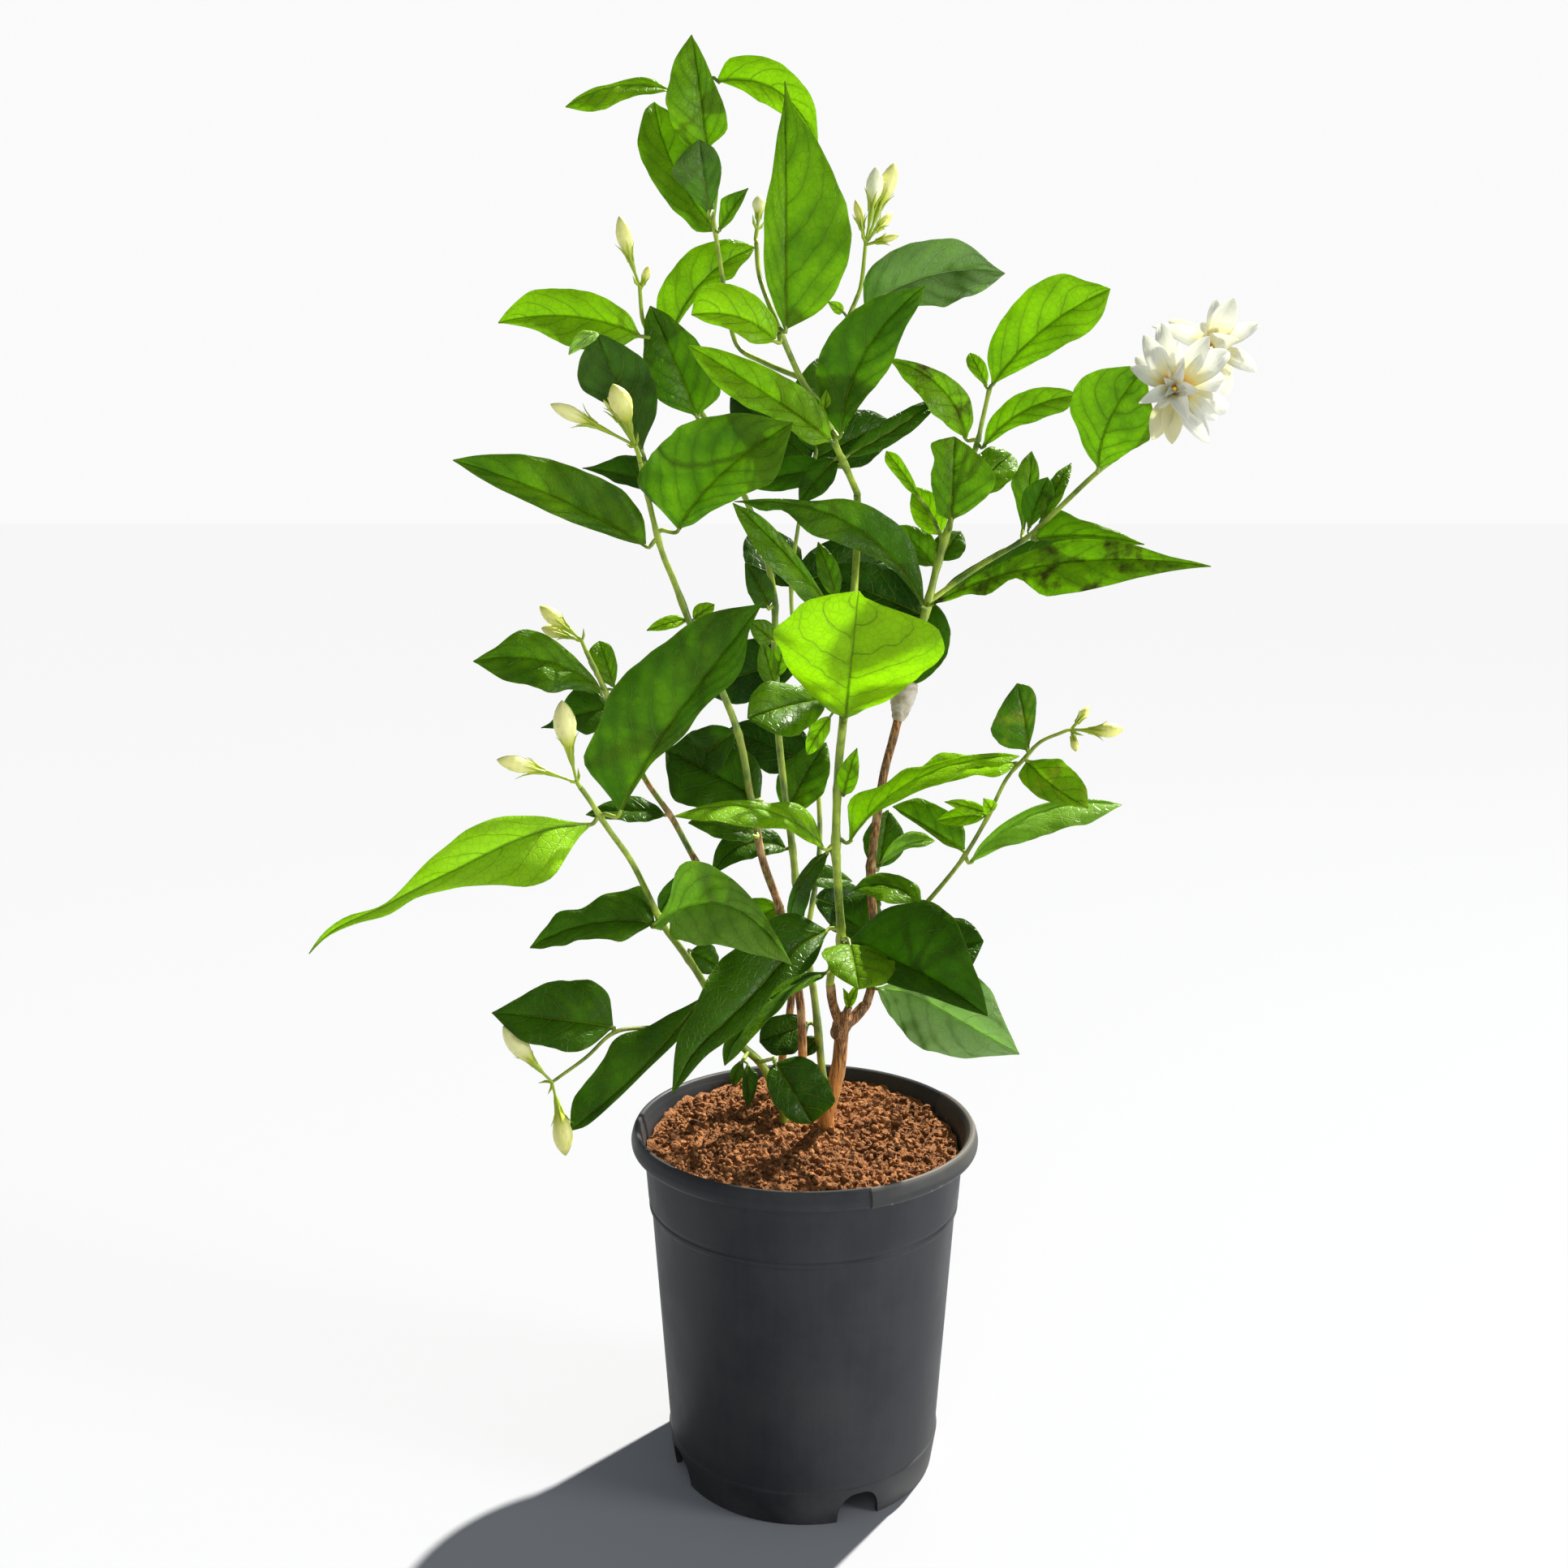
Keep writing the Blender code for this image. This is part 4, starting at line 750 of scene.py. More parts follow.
# A painted sheen: pale grey-green patches, most on the blisters, that stand in for bright sky mirrored on the
# leaf, with paler veins under them, laid into the colour as strongly as the leaf's sheen value says.
painted_sheen = wired(tree, "Attribute", {}, attribute_name="painted_sheen").outputs["Fac"]
painted_sheen_spread = plus(tree, cloud, times(tree, swollen, 0.16))
painted_sheen_share = stretched(tree, painted_sheen_spread, 0.36, 0.60)
skin = blended(tree, times(tree, painted_sheen_share, painted_sheen), skin, PAINTED_SHEEN_GREY)
shown_vein = result_of(tree, "MAXIMUM", times(tree, side_vein, 0.7), rib)
skin = blended(tree, times(tree, shown_vein, painted_sheen), skin, PAINTED_SHEEN_VEIN)
tree.links.new(skin, shader.inputs["Base Color"])
gloss = stretched(tree, cloud, 0.3, 0.7, 0.27, 0.44)
rough = wired(tree, "Mix", {0: upper, 2: 0.62, 3: gloss}, data_type="FLOAT").outputs[0]
tree.links.new(rough, shader.inputs["Roughness"])
shader.inputs["Specular IOR Level"].default_value = 0.18
dip = times(tree, side_vein, -0.8)
for mark, share in ((rib, -0.9), (fine_net, -0.24), (grain, 0.12)):
    dip = plus(tree, dip, times(tree, mark, share))
turned_dip = times(tree, dip, stretched(tree, upper, 0.0, 1.0, -1.0, 1.0))
face = roughened(tree, shader, turned_dip, 0.65, 0.0008)
glow = ramp_of(tree, own_tone_and_light, GLOW_AND_LIGHT_STEPS)
dim = times(tree, side_vein, 0.34)
for mark, share in ((fine_net, 0.13), (rib, 0.50)):
    dim = plus(tree, dim, times(tree, mark, share))
# Under a painted sheen the veins don't dim the light that shines through, and that light is painted paler.
dim = times(tree, dim, result_of(tree, "SUBTRACT", 1.0, painted_sheen))
glow = blended(tree, dim, glow, TONE_AND_LIGHT_STEPS[1][1])
glow = blended(tree, times(tree, painted_sheen, 0.5), glow, PAINTED_SHEEN_GREY)
glow = blended(tree, scorched, glow, LEAF_BURNT)
lit_through(tree, shader, glow, 0.45, face)

stalk_skin, tree, shader = finish_named("stalk_skin")
cloud = clouds(tree, place_of(tree), 160.0, 3.0)
skin = blended(tree, stretched(tree, cloud, 0.35, 0.7), CANE_GREEN, CANE_YELLOW)
tree.links.new(skin, shader.inputs["Base Color"])
shader.inputs["Roughness"].default_value = 0.45
roughened(tree, shader, cloud, 0.3, 0.0004)


def leaf(start, end, wide, turn=0.0, arch=0.06, fold=12.0, bend=0.0, belly=0.42, taper=0.68, root=None,
         tone_and_light=0.5, mottle=0.0, burn=0.0, wave=1.0, painted_sheen=0.0, stalk=True, rim=(), spine=()):
    """One leaf: its blade runs from spot `start` to spot `end` and is `wide` mm at its widest, which is
    `belly` of the way along. `turn` is how many degrees its face turns up from facing the front, `arch`
    bows its midrib out of its own plane, `bend` bows it within that plane, and `fold` lifts its two halves.
    Its stalk leaves the stem near `root`. `tone_and_light` goes from shade green to sunlit: partly the leaf's
    own colour, partly painted shade or painted sun. Where its outline isn't a plain oval, `rim` holds pixels
    (px, py) that its two margins pass, and `spine` those that its midrib passes in place of `bend`. `mottle`
    is how yellow it is in blotches, `burn` how brown in spots, `wave` how wavy its margins are and
    `painted_sheen` how much painted reflection of pale sky is laid into its colour."""
    return dict(start=start, end=end, wide=wide, turn=turn, arch=arch, fold=fold, bend=bend, belly=belly,
                taper=taper, root=root or start, tone_and_light=tone_and_light, mottle=mottle, burn=burn, wave=wave, painted_sheen=painted_sheen,
                stalk=stalk, rim=rim, spine=spine)


def leaf_frame(row):
    """Where the blade starts, the way it runs, its length, and the ways that its face and its side point."""
    start, end = spot(*row["start"]), spot(*row["end"])
    long = (end - start).length
    axis = (end - start) / long
    facing = VIEW_AT - (start + end) / 2
    facing = (facing - axis * facing.dot(axis)).normalized()
    side = axis.cross(facing)
    upward = side if (side.z > 0.2 or (abs(side.z) <= 0.2 and side.x > 0)) else -side
    turn = math.radians(row["turn"])
    normal = facing * math.cos(turn) + upward * math.sin(turn)
    return start, axis, long, normal, side


def on_leaf(row, pixels):
    """Where the view's pixels meet the leaf: how far along it they lie, from 0 to 1, and how far aside."""
    start, axis, long, normal, side = leaf_frame(row)
    facing = side.cross(axis)
    met = []
    for px, py in pixels:
        sight = spot(px, py, 0) - VIEW_AT
        seen = VIEW_AT + sight * ((start - VIEW_AT).dot(facing) / sight.dot(facing)) - start
        at = min(0.985, max(0.015, seen.dot(axis) / long))
        met.append((at, seen.dot(side) / long - row["arch"] * 4 * at * (1 - at) * normal.dot(side)))
    return sorted(met)


def evened(values, rounds):
    """The row of values with its corners smoothed so many times; its two ends stay."""
    for n in range(rounds):
        values[1:-1] = (values[:-2] + 2 * values[1:-1] + values[2:]) / 4
    return values


def rib_sway(row, t):
    """How far the midrib lies to the side of the straight line from foot to tip, as a share of that line."""
    if not row["spine"]:
        return row["bend"] * 4 * t * (1 - t)
    points = [(0.0, 0.0)] + on_leaf(row, row["spine"]) + [(1.0, 0.0)]
    fine = np.linspace(0.0, 1.0, 41)
    off = np.interp(fine, [p[0] for p in points], [p[1] for p in points])
    return np.interp(t, fine, evened(off, 6))


def margins(row, t):
    """Half widths of the blade along t, on the side of its left margin and on that of its right one."""
    belly, a = row["belly"], row["taper"]
    b = a * (1 - belly) / belly
    inner = np.clip(t, 1e-4, 1 - 1e-4)
    oval = row["wide"] * MM / 2 * (inner / belly) ** a * ((1 - inner) / (1 - belly)) ** b
    if not row["rim"]:
        return oval, oval
    axis, long, normal, side = leaf_frame(row)[1:]
    beside = axis.cross(normal)
    passed = {-1: [(0.0, 0.0)], 1: [(0.0, 0.0)]}
    for at, away in on_leaf(row, row["rim"]):
        off = (away - float(rib_sway(row, at))) * long
        hand = 1 if off * beside.dot(side) > 0 else -1
        lean = hand * beside.dot(side) + math.tan(math.radians(row["fold"])) * normal.dot(side)
        passed[hand].append((at, abs(off) / max(0.35, abs(lean))))
    halves = []
    for hand in (-1, 1):
        points = (passed[hand] if len(passed[hand]) > 1 else passed[-hand]) + [(1.0, 0.0)]
        half = np.interp(t[:, 0], [p[0] for p in points], [p[1] for p in points])
        halves.append(evened(half, 2)[:, None])
    return halves


def unit(rows):
    """The rows of vectors at length 1."""
    return rows / np.maximum(np.linalg.norm(rows, axis=-1, keepdims=True), 1e-12)


def sheet_faces(rows, columns):
    """The faces of a thin sheet: its two sides, each of rows of points, and the narrow rim between them."""
    faces = []
    other = rows * columns
    for i in range(rows - 1):
        for j in range(columns - 1):
            p = i * columns + j
            faces.append((p, p + 1, p + columns + 1, p + columns))
            faces.append((other + p, other + p + columns, other + p + columns + 1, other + p + 1))
    rim = [i * columns for i in range(rows)] + [(rows - 1) * columns + j for j in range(1, columns)]
    rim += [i * columns + columns - 1 for i in reversed(range(rows - 1))]
    rim += list(reversed(range(columns - 1)))
    for p, q in zip(rim, rim[1:]):
        faces.append((p, q, other + q, other + p))
    return faces


def leaf_blade(row):
    """Points, faces and what the leaf's material reads, for one blade with its two faces and its rim."""
    start, axis, long, normal, side = [np.array(v) if isinstance(v, Vector) else v for v in leaf_frame(row)]
    count = 34 if long > 0.05 else 26 if long > 0.03 else 16
    t = np.linspace(0.0, 1.0, count)[:, None]
    bowed = row["arch"] * 4 * t * (1 - t)
    middle = start + axis * (t * long) + normal * (bowed * long) + side * (rib_sway(row, t) * long)
    tangent = unit(np.gradient(middle, axis=0))
    beside = unit(np.cross(tangent, normal))
    raised = np.cross(beside, tangent)
    u = np.array(COLUMNS)[None, :]
    left, right = margins(row, t)
    half = np.maximum(np.where(u < 0, left, right), (STALK_R * (1 - 0.75 * t)) * MM)
    size = abs(u)
    first, second, third, fourth = [random.uniform(0, 2 * np.pi) for k in range(4)]
    strength = row["wave"] * random.uniform(0.7, 1.2)
    scallop = 1 + 0.018 * strength * np.sin(2 * np.pi * 3.1 * t + first + u * 1.3)
    scallop = scallop + 0.008 * np.sin(2 * np.pi * 8.3 * t + second + u)
    spread = half * scallop
    steep = math.tan(math.radians(row["fold"]))
    lift = steep * (1.5 * size - 0.5 * size ** 3) * half * np.clip(t / 0.10, 0, 1)
    pairs = 3 + round(long / (VEIN_PAIR_EVERY * MM))
    lean = min(0.42, 1.5 * half.max() / long)
    shift = np.where(u >= 0, 0.0, 0.43) + third
    vein_turn = pairs * (t * VEIN_REACH - lean * size ** 1.35) + shift
    part = vein_turn % 1.0
    inland = np.clip((0.99 - size) / 0.35, 0, 1) * np.clip(size / 0.10, 0, 1)
    inland = inland * np.clip((1 - t) / 0.12, 0, 1) * np.clip(t / 0.06, 0, 1)
    puff = BLISTER * np.sqrt(half * 0.018) * (4 * part * (1 - part)) ** 0.7 * inland
    margin = size ** 2.2 * np.clip(t / 0.15, 0, 1) * np.clip((1 - t) / 0.08, 0.15, 1)
    slow = np.sin(2 * np.pi * 1.7 * t + fourth + np.where(u > 0, 1.9, 0.0))
    quick = np.sin(2 * np.pi * 4.2 * t + first + np.where(u > 0, 0.7, 0.0))
    ripple = strength * margin * half * (0.075 * slow + 0.040 * quick)
    out = (lift + puff + ripple)[..., None]
    sheet = middle[:, None, :] + beside[:, None, :] * (u * spread)[..., None] + raised[:, None, :] * out
    face_out = unit(np.cross(np.gradient(sheet, axis=0), np.gradient(sheet, axis=1)))
    flip = np.sign((face_out * raised[:, None, :]).sum(-1, keepdims=True))
    face_out = face_out * np.where(flip == 0, 1, flip)
    thick = BLADE_THICK * MM / 2 * (1 - 0.45 * size ** 3) * np.ones_like(t)
    keel = KEEL_TALL * MM * (1 - t) ** 0.8 * np.exp(-(u * spread / (KEEL_WIDE * MM)) ** 2)
    groove = GROOVE_DEEP * MM * (1 - t) ** 0.6 * np.exp(-(u * spread / (GROOVE_WIDE * MM)) ** 2)
    top = sheet + face_out * (thick - groove)[..., None]
    under = sheet - face_out * (thick + keel)[..., None]
    points = np.concatenate([top.reshape(-1, 3), under.reshape(-1, 3)])
    flat = np.ones_like(t) * u
    far = t * np.ones_like(u)
    blade = [np.stack([flat, far, np.full_like(flat, above)], -1).reshape(-1, 3) for above in (1.0, 0.0)]
    space = np.full_like(flat, long / MM / pairs / VEIN_REACH)
    veins = np.stack([vein_turn, size * spread / MM, space], -1).reshape(-1, 3)
    own = row["tone_and_light"] + random.uniform(-0.05, 0.05)
    look = np.tile([own, row["mottle"], row["burn"]], (len(points), 1))
    faces = sheet_faces(count, len(COLUMNS))
    return points, faces, np.concatenate(blade), np.concatenate([veins, veins]), look


def leaf_stalk(row, line):
    """The curved stalk from the stem's middle line to the foot of the blade."""
    root, along = nearest(line, spot(*row["root"]))
    start, axis, long, normal = leaf_frame(row)[:4]
    reach = (start - root).length
    if reach < 0.0006 or not row["stalk"]:
        return None
    away = (start - root).normalized()
    upward = along if along.dot(axis) > 0 else -along
    first = root + (away * 0.75 + upward * 0.25) * (reach * 0.35)
    last = start - axis * (reach * 0.30) - normal * (0.06 * reach)
    path = smooth_path([root, first, last, start + axis * 0.0012], 0.0012)
    small = 0.7 if long < 0.025 else 1.0
    radii = [STALK_R * small * MM * (1.28 - 0.36 * i / (len(path) - 1)) for i in range(len(path))]
    return tube(path, radii, STALK_SIDES)


def add_part(points, faces, part):
    """Adds a part's points and faces to those of the piece that it belongs to."""
    first = len(points)
    points += [tuple(p) for p in part[0]]
    faces += [tuple(first + i for i in face) for face in part[1]]


def leaves_piece(name, line, rows):
    """All the leaves of one stem, with their stalks, as one piece."""
    points, faces, slots, blade, veins, look, painted_sheen = [], [], [], [], [], [], []
    for row in rows:
        made = leaf_blade(row)
        add_part(points, faces, made)
        slots += [0] * len(made[1])
        blade.append(made[2])
        veins.append(made[3])
        look.append(made[4])
        painted_sheen += [row["painted_sheen"]] * len(made[0])
        stalk = leaf_stalk(row, line)
        if stalk:
            add_part(points, faces, stalk)
            count = len(stalk[0])
            slots += [1] * len(stalk[1])
            blade.append(np.zeros((count, 3)))
            veins.append(np.zeros((count, 3)))
            look.append(np.tile([row["tone_and_light"], 0.0, 0.0], (count, 1)))
            painted_sheen += [0.0] * count
    piece = new_piece(name + "_leaves", points, faces, [leaf_skin, stalk_skin], 75.0)
    piece.data.polygons.foreach_set("material_index", slots)
    remember(piece, "blade", "FLOAT_VECTOR", np.concatenate(blade))
    remember(piece, "veins", "FLOAT_VECTOR", np.concatenate(veins))
    remember(piece, "leaf_look", "FLOAT_VECTOR", np.concatenate(look))
    remember(piece, "painted_sheen", "FLOAT", painted_sheen)
    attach(piece, "root")
    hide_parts(name)
    return piece


def stem_line(name, path, on=None, after=None):
    """The middle line of a stem, which stands in the soil, grows from the side of another stem, `on`, or goes
    on from the end of another, `after`."""
    if name in ROOTS:
        line = root_line(name, path)
    elif on:
        start = nearest(AXES[on], spot(*path[0]))[0]
        line = smooth_path([start] + [spot(*p) for p in path[1:]])
    else:
        parent = AXES[after]
        ahead = (parent[-1] - parent[-2]).normalized() * 0.0012
        line = smooth_path([parent[-1], parent[-1] + ahead] + [spot(*p) for p in path])
    AXES[name] = line
    return line


def cane(name, path, thick, leaves=(), on=None, after=None, bark=(0.0, 0.0)):
    """One stem and its leaves. `thick` is its diameter in mm and `bark` how woody it is, each from foot to
    tip. It swells a little where a leaf's stalk leaves it."""
    line = stem_line(name, path, on, after)
    roots = [nearest(line, spot(*row["root"]))[0] for row in leaves if row["stalk"]]
    radii, woody = [], []
    sides = 14 if thick[0] > 3 else 10
    for i, p in enumerate(line):
        share = i / (len(line) - 1)
        swell = sum(KNOT_SWELL * math.exp(-((p - root).length / (KNOT_LONG * MM)) ** 2) for root in roots)
        wobble = 0.05 * noise.noise(p * 240.0)
        radii.append((thick[0] + (thick[1] - thick[0]) * share) / 2 * MM * (1 + min(0.3, swell) + wobble))
        woody += [bark[0] + (bark[1] - bark[0]) * i / (len(line) - 1)] * sides
    piece = new_piece(name + "_stem", *tube(line, radii, sides), [stem_skin], 60.0)
    remember(piece, "woody", "FLOAT", woody)
    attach(piece, "root")
    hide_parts(name)
    if leaves:
        leaves_piece(name, line, leaves)


random.seed(41)

# The front cane: a green shoot that grows on from the trunk's left branch, up to the knot where the biggest
# and brightest leaf stands. Its low leaves are old and broad, dark partly of their own and partly by painted
# shade, and hang over the rim.
cane("front_cane", [(1027, 1185, 3), (1036, 1160, -4), (1033, 1100, -15), (1030, 1040, -22),
                    (1033, 950, -30), (1038, 897, -34)],
     (3.8, 3.6), after="left_fork", bark=(0.2, 0.0), leaves=[
    leaf((1040, 1163, -8), (1217, 1252, -62), 50, turn=12, fold=22, bend=-0.14, belly=0.40, tone_and_light=0.22,
         rim=((1068, 1150), (1095, 1130), (1125, 1119), (1152, 1115), (1167, 1118), (1181, 1129),
         (1202, 1190), (1213, 1225), (1060, 1192), (1085, 1210), (1140, 1230), (1202, 1249)),
         spine=((1060, 1162), (1080, 1170), (1110, 1187), (1150, 1205), (1185, 1228))),
    leaf((1019, 1147, -10), (828, 1348, -70), 40, turn=8, fold=14, bend=0.08, belly=0.38, tone_and_light=0.27,
         rim=((1000, 1136), (975, 1133), (950, 1137), (900, 1175), (880, 1190), (857, 1225), (848, 1255),
         (835, 1275), (830, 1322), (1012, 1168), (1003, 1187), (990, 1203), (970, 1213), (955, 1217),
         (930, 1250), (920, 1265), (890, 1288), (860, 1312), (840, 1337)), spine=((985, 1165), (955, 1195),
         (930, 1225), (890, 1265), (855, 1295), (840, 1320))),
    leaf((1047, 1164, -20), (1058, 1219, -46), 31, turn=14, fold=6, belly=0.5, root=(1036, 1158, -4),
         tone_and_light=0.62, painted_sheen=0.0, rim=((1030, 1165), (1017, 1175), (1014, 1187), (1020, 1201), (1036, 1214),
         (1080, 1166), (1098, 1178), (1105, 1197), (1102, 1211), (1085, 1219))),
    leaf((1018, 1198, -2), (893, 1313, -30), 26, turn=62, fold=10, belly=0.5, root=(1026, 1186, 3),
         tone_and_light=0.35, bend=0.06, rim=((1000, 1197), (975, 1203), (950, 1218), (905, 1265), (892, 1290),
         (1005, 1215), (948, 1255), (913, 1300))),
    leaf((1015, 1045, -24), (830, 1006, -46), 25, turn=48, fold=16, bend=0.10, tone_and_light=0.62, rim=((845, 1000),
         (880, 990), (895, 987), (945, 990), (965, 987), (985, 990), (995, 1000), (1010, 1030), (850, 1010),
         (905, 1015), (950, 1020), (970, 1026), (988, 1036))),
    leaf((1047, 1036, -24), (1256, 932, -52), 29, turn=44, fold=14, bend=-0.08, belly=0.28, taper=0.5,
         tone_and_light=0.8, rim=((1044, 1020), (1043, 1000), (1047, 985), (1056, 976), (1085, 970), (1095, 964),
         (1105, 952), (1118, 944), (1135, 946), (1165, 937), (1205, 938), (1242, 928), (1055, 1025),
         (1070, 1009), (1100, 990), (1135, 975), (1185, 956), (1235, 944))),
    leaf((1020, 1050, -14), (975, 1140, 6), 13, turn=30, fold=10, bend=0.06, tone_and_light=0.3, rim=((1005, 1055),
         (990, 1070), (972, 1110), (970, 1128), (1020, 1062), (999, 1105), (996, 1128))),
    leaf((1046, 1241, 10), (1058, 1212, 8), 4.5, turn=20, tone_and_light=0.85, stalk=False),
    leaf((1045, 1241, 10), (1039, 1218, 6), 3.6, turn=30, tone_and_light=0.8, stalk=False),
    leaf((1040, 978, -30), (1056, 922, -44), 9, turn=10, tone_and_light=0.62),
])

# The middle of the same cane, green, thinner and in the shade, up to the fork under the crown. The biggest
# leaf stands upright at its foot.
cane("middle_cane", [(1042, 855, -20), (1047, 800, 0), (1053, 720, 26), (1057, 640, 33), (1056, 610, 30)],
     (3.6, 3.2), after="front_cane", leaves=[
    leaf((1042, 884, -38), (1058, 728, -78), 72, turn=0, fold=8, arch=0.10, belly=0.73, taper=1.0,
         root=(1042, 872, -28), tone_and_light=0.92, wave=0.6, rim=((1030, 880), (1005, 843), (975, 805), (957, 770),
         (952, 758), (970, 752), (985, 737), (1000, 728), (1035, 724), (1066, 742), (1115, 747),
         (1135, 751), (1150, 757), (1163, 766), (1166, 778), (1160, 790), (1140, 806), (1105, 840),
         (1065, 864), (1052, 880))),
    leaf((1018, 862, -32), (921, 885, -62), 30, turn=25, fold=18, belly=0.5, tone_and_light=0.42, rim=((1000, 849),
         (950, 840), (938, 842), (930, 850), (922, 866), (924, 898), (932, 907), (945, 914), (957, 912),
         (985, 893), (1002, 879))),
    leaf((1022, 884, -14), (995, 930, -6), 9, turn=20, root=(1044, 846, -16), tone_and_light=0.75),
    leaf((1033, 765, 4), (903, 620, -30), 28, turn=25, fold=14, tone_and_light=0.45, rim=((906, 635), (925, 670),
         (940, 690), (980, 728), (1000, 748), (930, 630), (950, 645), (982, 685), (1000, 712))),
    leaf((1030, 735, 24), (1008, 668, 28), 10, turn=10, tone_and_light=0.35),
])

# The top of the same cane: a green stem, bare between its knots, that carries the crown's biggest leaves.
# The crown shoot and the bud shoot grow from its side.
cane("top_cane", [(1045, 582, 20), (1029, 547, 6), (1015, 505, 0), (990, 472, -6), (968, 425, -14),
                  (953, 388, -16), (936, 340, -6), (932, 300, 0)], (3.2, 2.0), after="middle_cane", leaves=[
    leaf((1024, 543, -2), (847, 425, -24), 29, turn=14, fold=12, tone_and_light=0.68, rim=((880, 428), (935, 447),
         (985, 475), (1000, 484), (1012, 495), (1020, 515), (855, 440), (880, 475), (915, 499), (940, 507),
         (975, 530), (995, 548))),
    leaf((1036, 535, -2), (1140, 352, -26), 35, turn=8, fold=12, bend=-0.10, tone_and_light=0.4, rim=((1120, 358),
         (1070, 372), (1050, 385), (1020, 415), (1012, 440), (1010, 460), (1022, 510), (1138, 370),
         (1118, 400), (1105, 440), (1080, 475), (1050, 515))),
    leaf((1044, 562, 14), (1160, 488, 32), 11, turn=15, fold=10, bend=0.04, tone_and_light=0.25),
    leaf((1030, 566, 16), (985, 620, 20), 14, turn=20, tone_and_light=0.25),
    leaf((1018, 576, 22), (918, 598, 30), 15, turn=15, root=(1042, 576, 17), tone_and_light=0.3),
    leaf((968, 405, -20), (967, 100, -34), 37, turn=4, fold=10, bend=0.0, belly=0.36, taper=0.75, tone_and_light=0.52,
         rim=((972, 115), (976, 133), (998, 163), (1020, 200), (1043, 250), (1048, 300), (1044, 325),
         (1036, 345), (1022, 368), (1005, 388), (985, 400), (967, 125), (957, 170), (951, 220), (941, 262),
         (941, 320), (945, 350), (960, 395))),
    leaf((955, 420, -22), (852, 388, -34), 22, turn=20, fold=12, bend=0.10, tone_and_light=0.75, rim=((860, 370),
         (870, 358), (885, 351), (900, 349), (915, 355), (932, 368), (945, 382), (955, 400), (865, 397),
         (900, 408), (915, 418), (930, 424), (945, 425))),
    leaf((1014, 515, -2), (1018, 480, -12), 6, turn=10, tone_and_light=0.75),
])

# The crown shoot: the plant's highest tip, with young leaves that the sun shines through. It is soft and
# green and grows from the side of the top cane.
cane("crown_shoot", [(985, 465, -6), (940, 446, 12), (908, 425, 20), (895, 370, 22), (884, 302, 20),
                     (878, 262, 18), (875, 205, 18), (868, 120, 18)], (2.4, 1.5), on="top_cane", leaves=[
    leaf((871, 183, 14), (852, 43, 4), 27, turn=8, fold=14, belly=0.35, taper=0.5, tone_and_light=0.52,
         rim=((843, 182), (840, 60), (828, 82), (825, 105), (819, 124), (826, 148), (838, 168), (862, 60),
         (885, 112), (895, 140), (898, 160))),
    leaf((880, 284, 24), (806, 126, 38), 29, turn=12, fold=14, bend=-0.08, belly=0.45, tone_and_light=0.5,
         rim=((797, 140), (792, 190), (797, 212), (808, 232), (820, 247), (828, 262), (846, 271),
         (857, 288), (850, 150), (868, 170), (880, 195), (888, 225), (889, 250))),
    leaf((826, 112, 16), (697, 132, 6), 19, turn=34, fold=14, bend=0.07, tone_and_light=0.66, rim=((805, 98),
         (785, 95), (750, 105), (735, 107), (707, 122), (800, 117), (780, 119), (740, 135), (722, 140),
         (708, 137))),
    leaf((884, 100, 20), (1008, 182, 14), 19, turn=10, fold=12, bend=-0.18, belly=0.5, tone_and_light=0.72,
         rim=((893, 88), (905, 79), (918, 74), (945, 73), (962, 79), (990, 105), (1000, 125), (1004, 150),
         (900, 106), (935, 127), (965, 142), (985, 156))),
    leaf((873, 262, 12), (861, 172, 0), 24, turn=10, fold=10, belly=0.55, tone_and_light=0.3, painted_sheen=0.08,
         rim=((848, 180), (834, 194), (823, 210), (847, 232), (860, 250), (878, 178), (887, 191),
         (889, 209), (886, 230), (879, 250))),
    leaf((886, 284, 16), (922, 232, 6), 10, turn=15, fold=10, tone_and_light=0.5, rim=((888, 243), (912, 235),
         (916, 248), (905, 268), (893, 280))),
])

# The left cane: woody and brown at the foot and green above, where two broad leaves stand out under the bud
# spray. It stands in the soil by itself, and its green top grows on from its end.
cane("left_cane", [(986, 1236, 37), (962, 1125, 40), (940, 1060, 40), (925, 985, 38), (910, 905, 34),
                   (880, 830, 28), (853, 775, 22)], (4.4, 3.2), bark=(0.95, 0.2), leaves=[
    leaf((936, 985, 40), (820, 925, 52), 34, turn=20, fold=12, tone_and_light=0.2, rim=((838, 915), (855, 900),
         (905, 912), (925, 930), (940, 955), (825, 950), (835, 985), (860, 1000), (900, 1000), (925, 996))),
    leaf((905, 902, 40), (832, 968, 62), 24, turn=25, fold=12, tone_and_light=0.15),
    leaf((960, 1118, 46), (885, 1160, 60), 20, turn=30, tone_and_light=0.5),
    leaf((930, 1030, 34), (848, 1014, 26), 19, turn=42, tone_and_light=0.3),
])
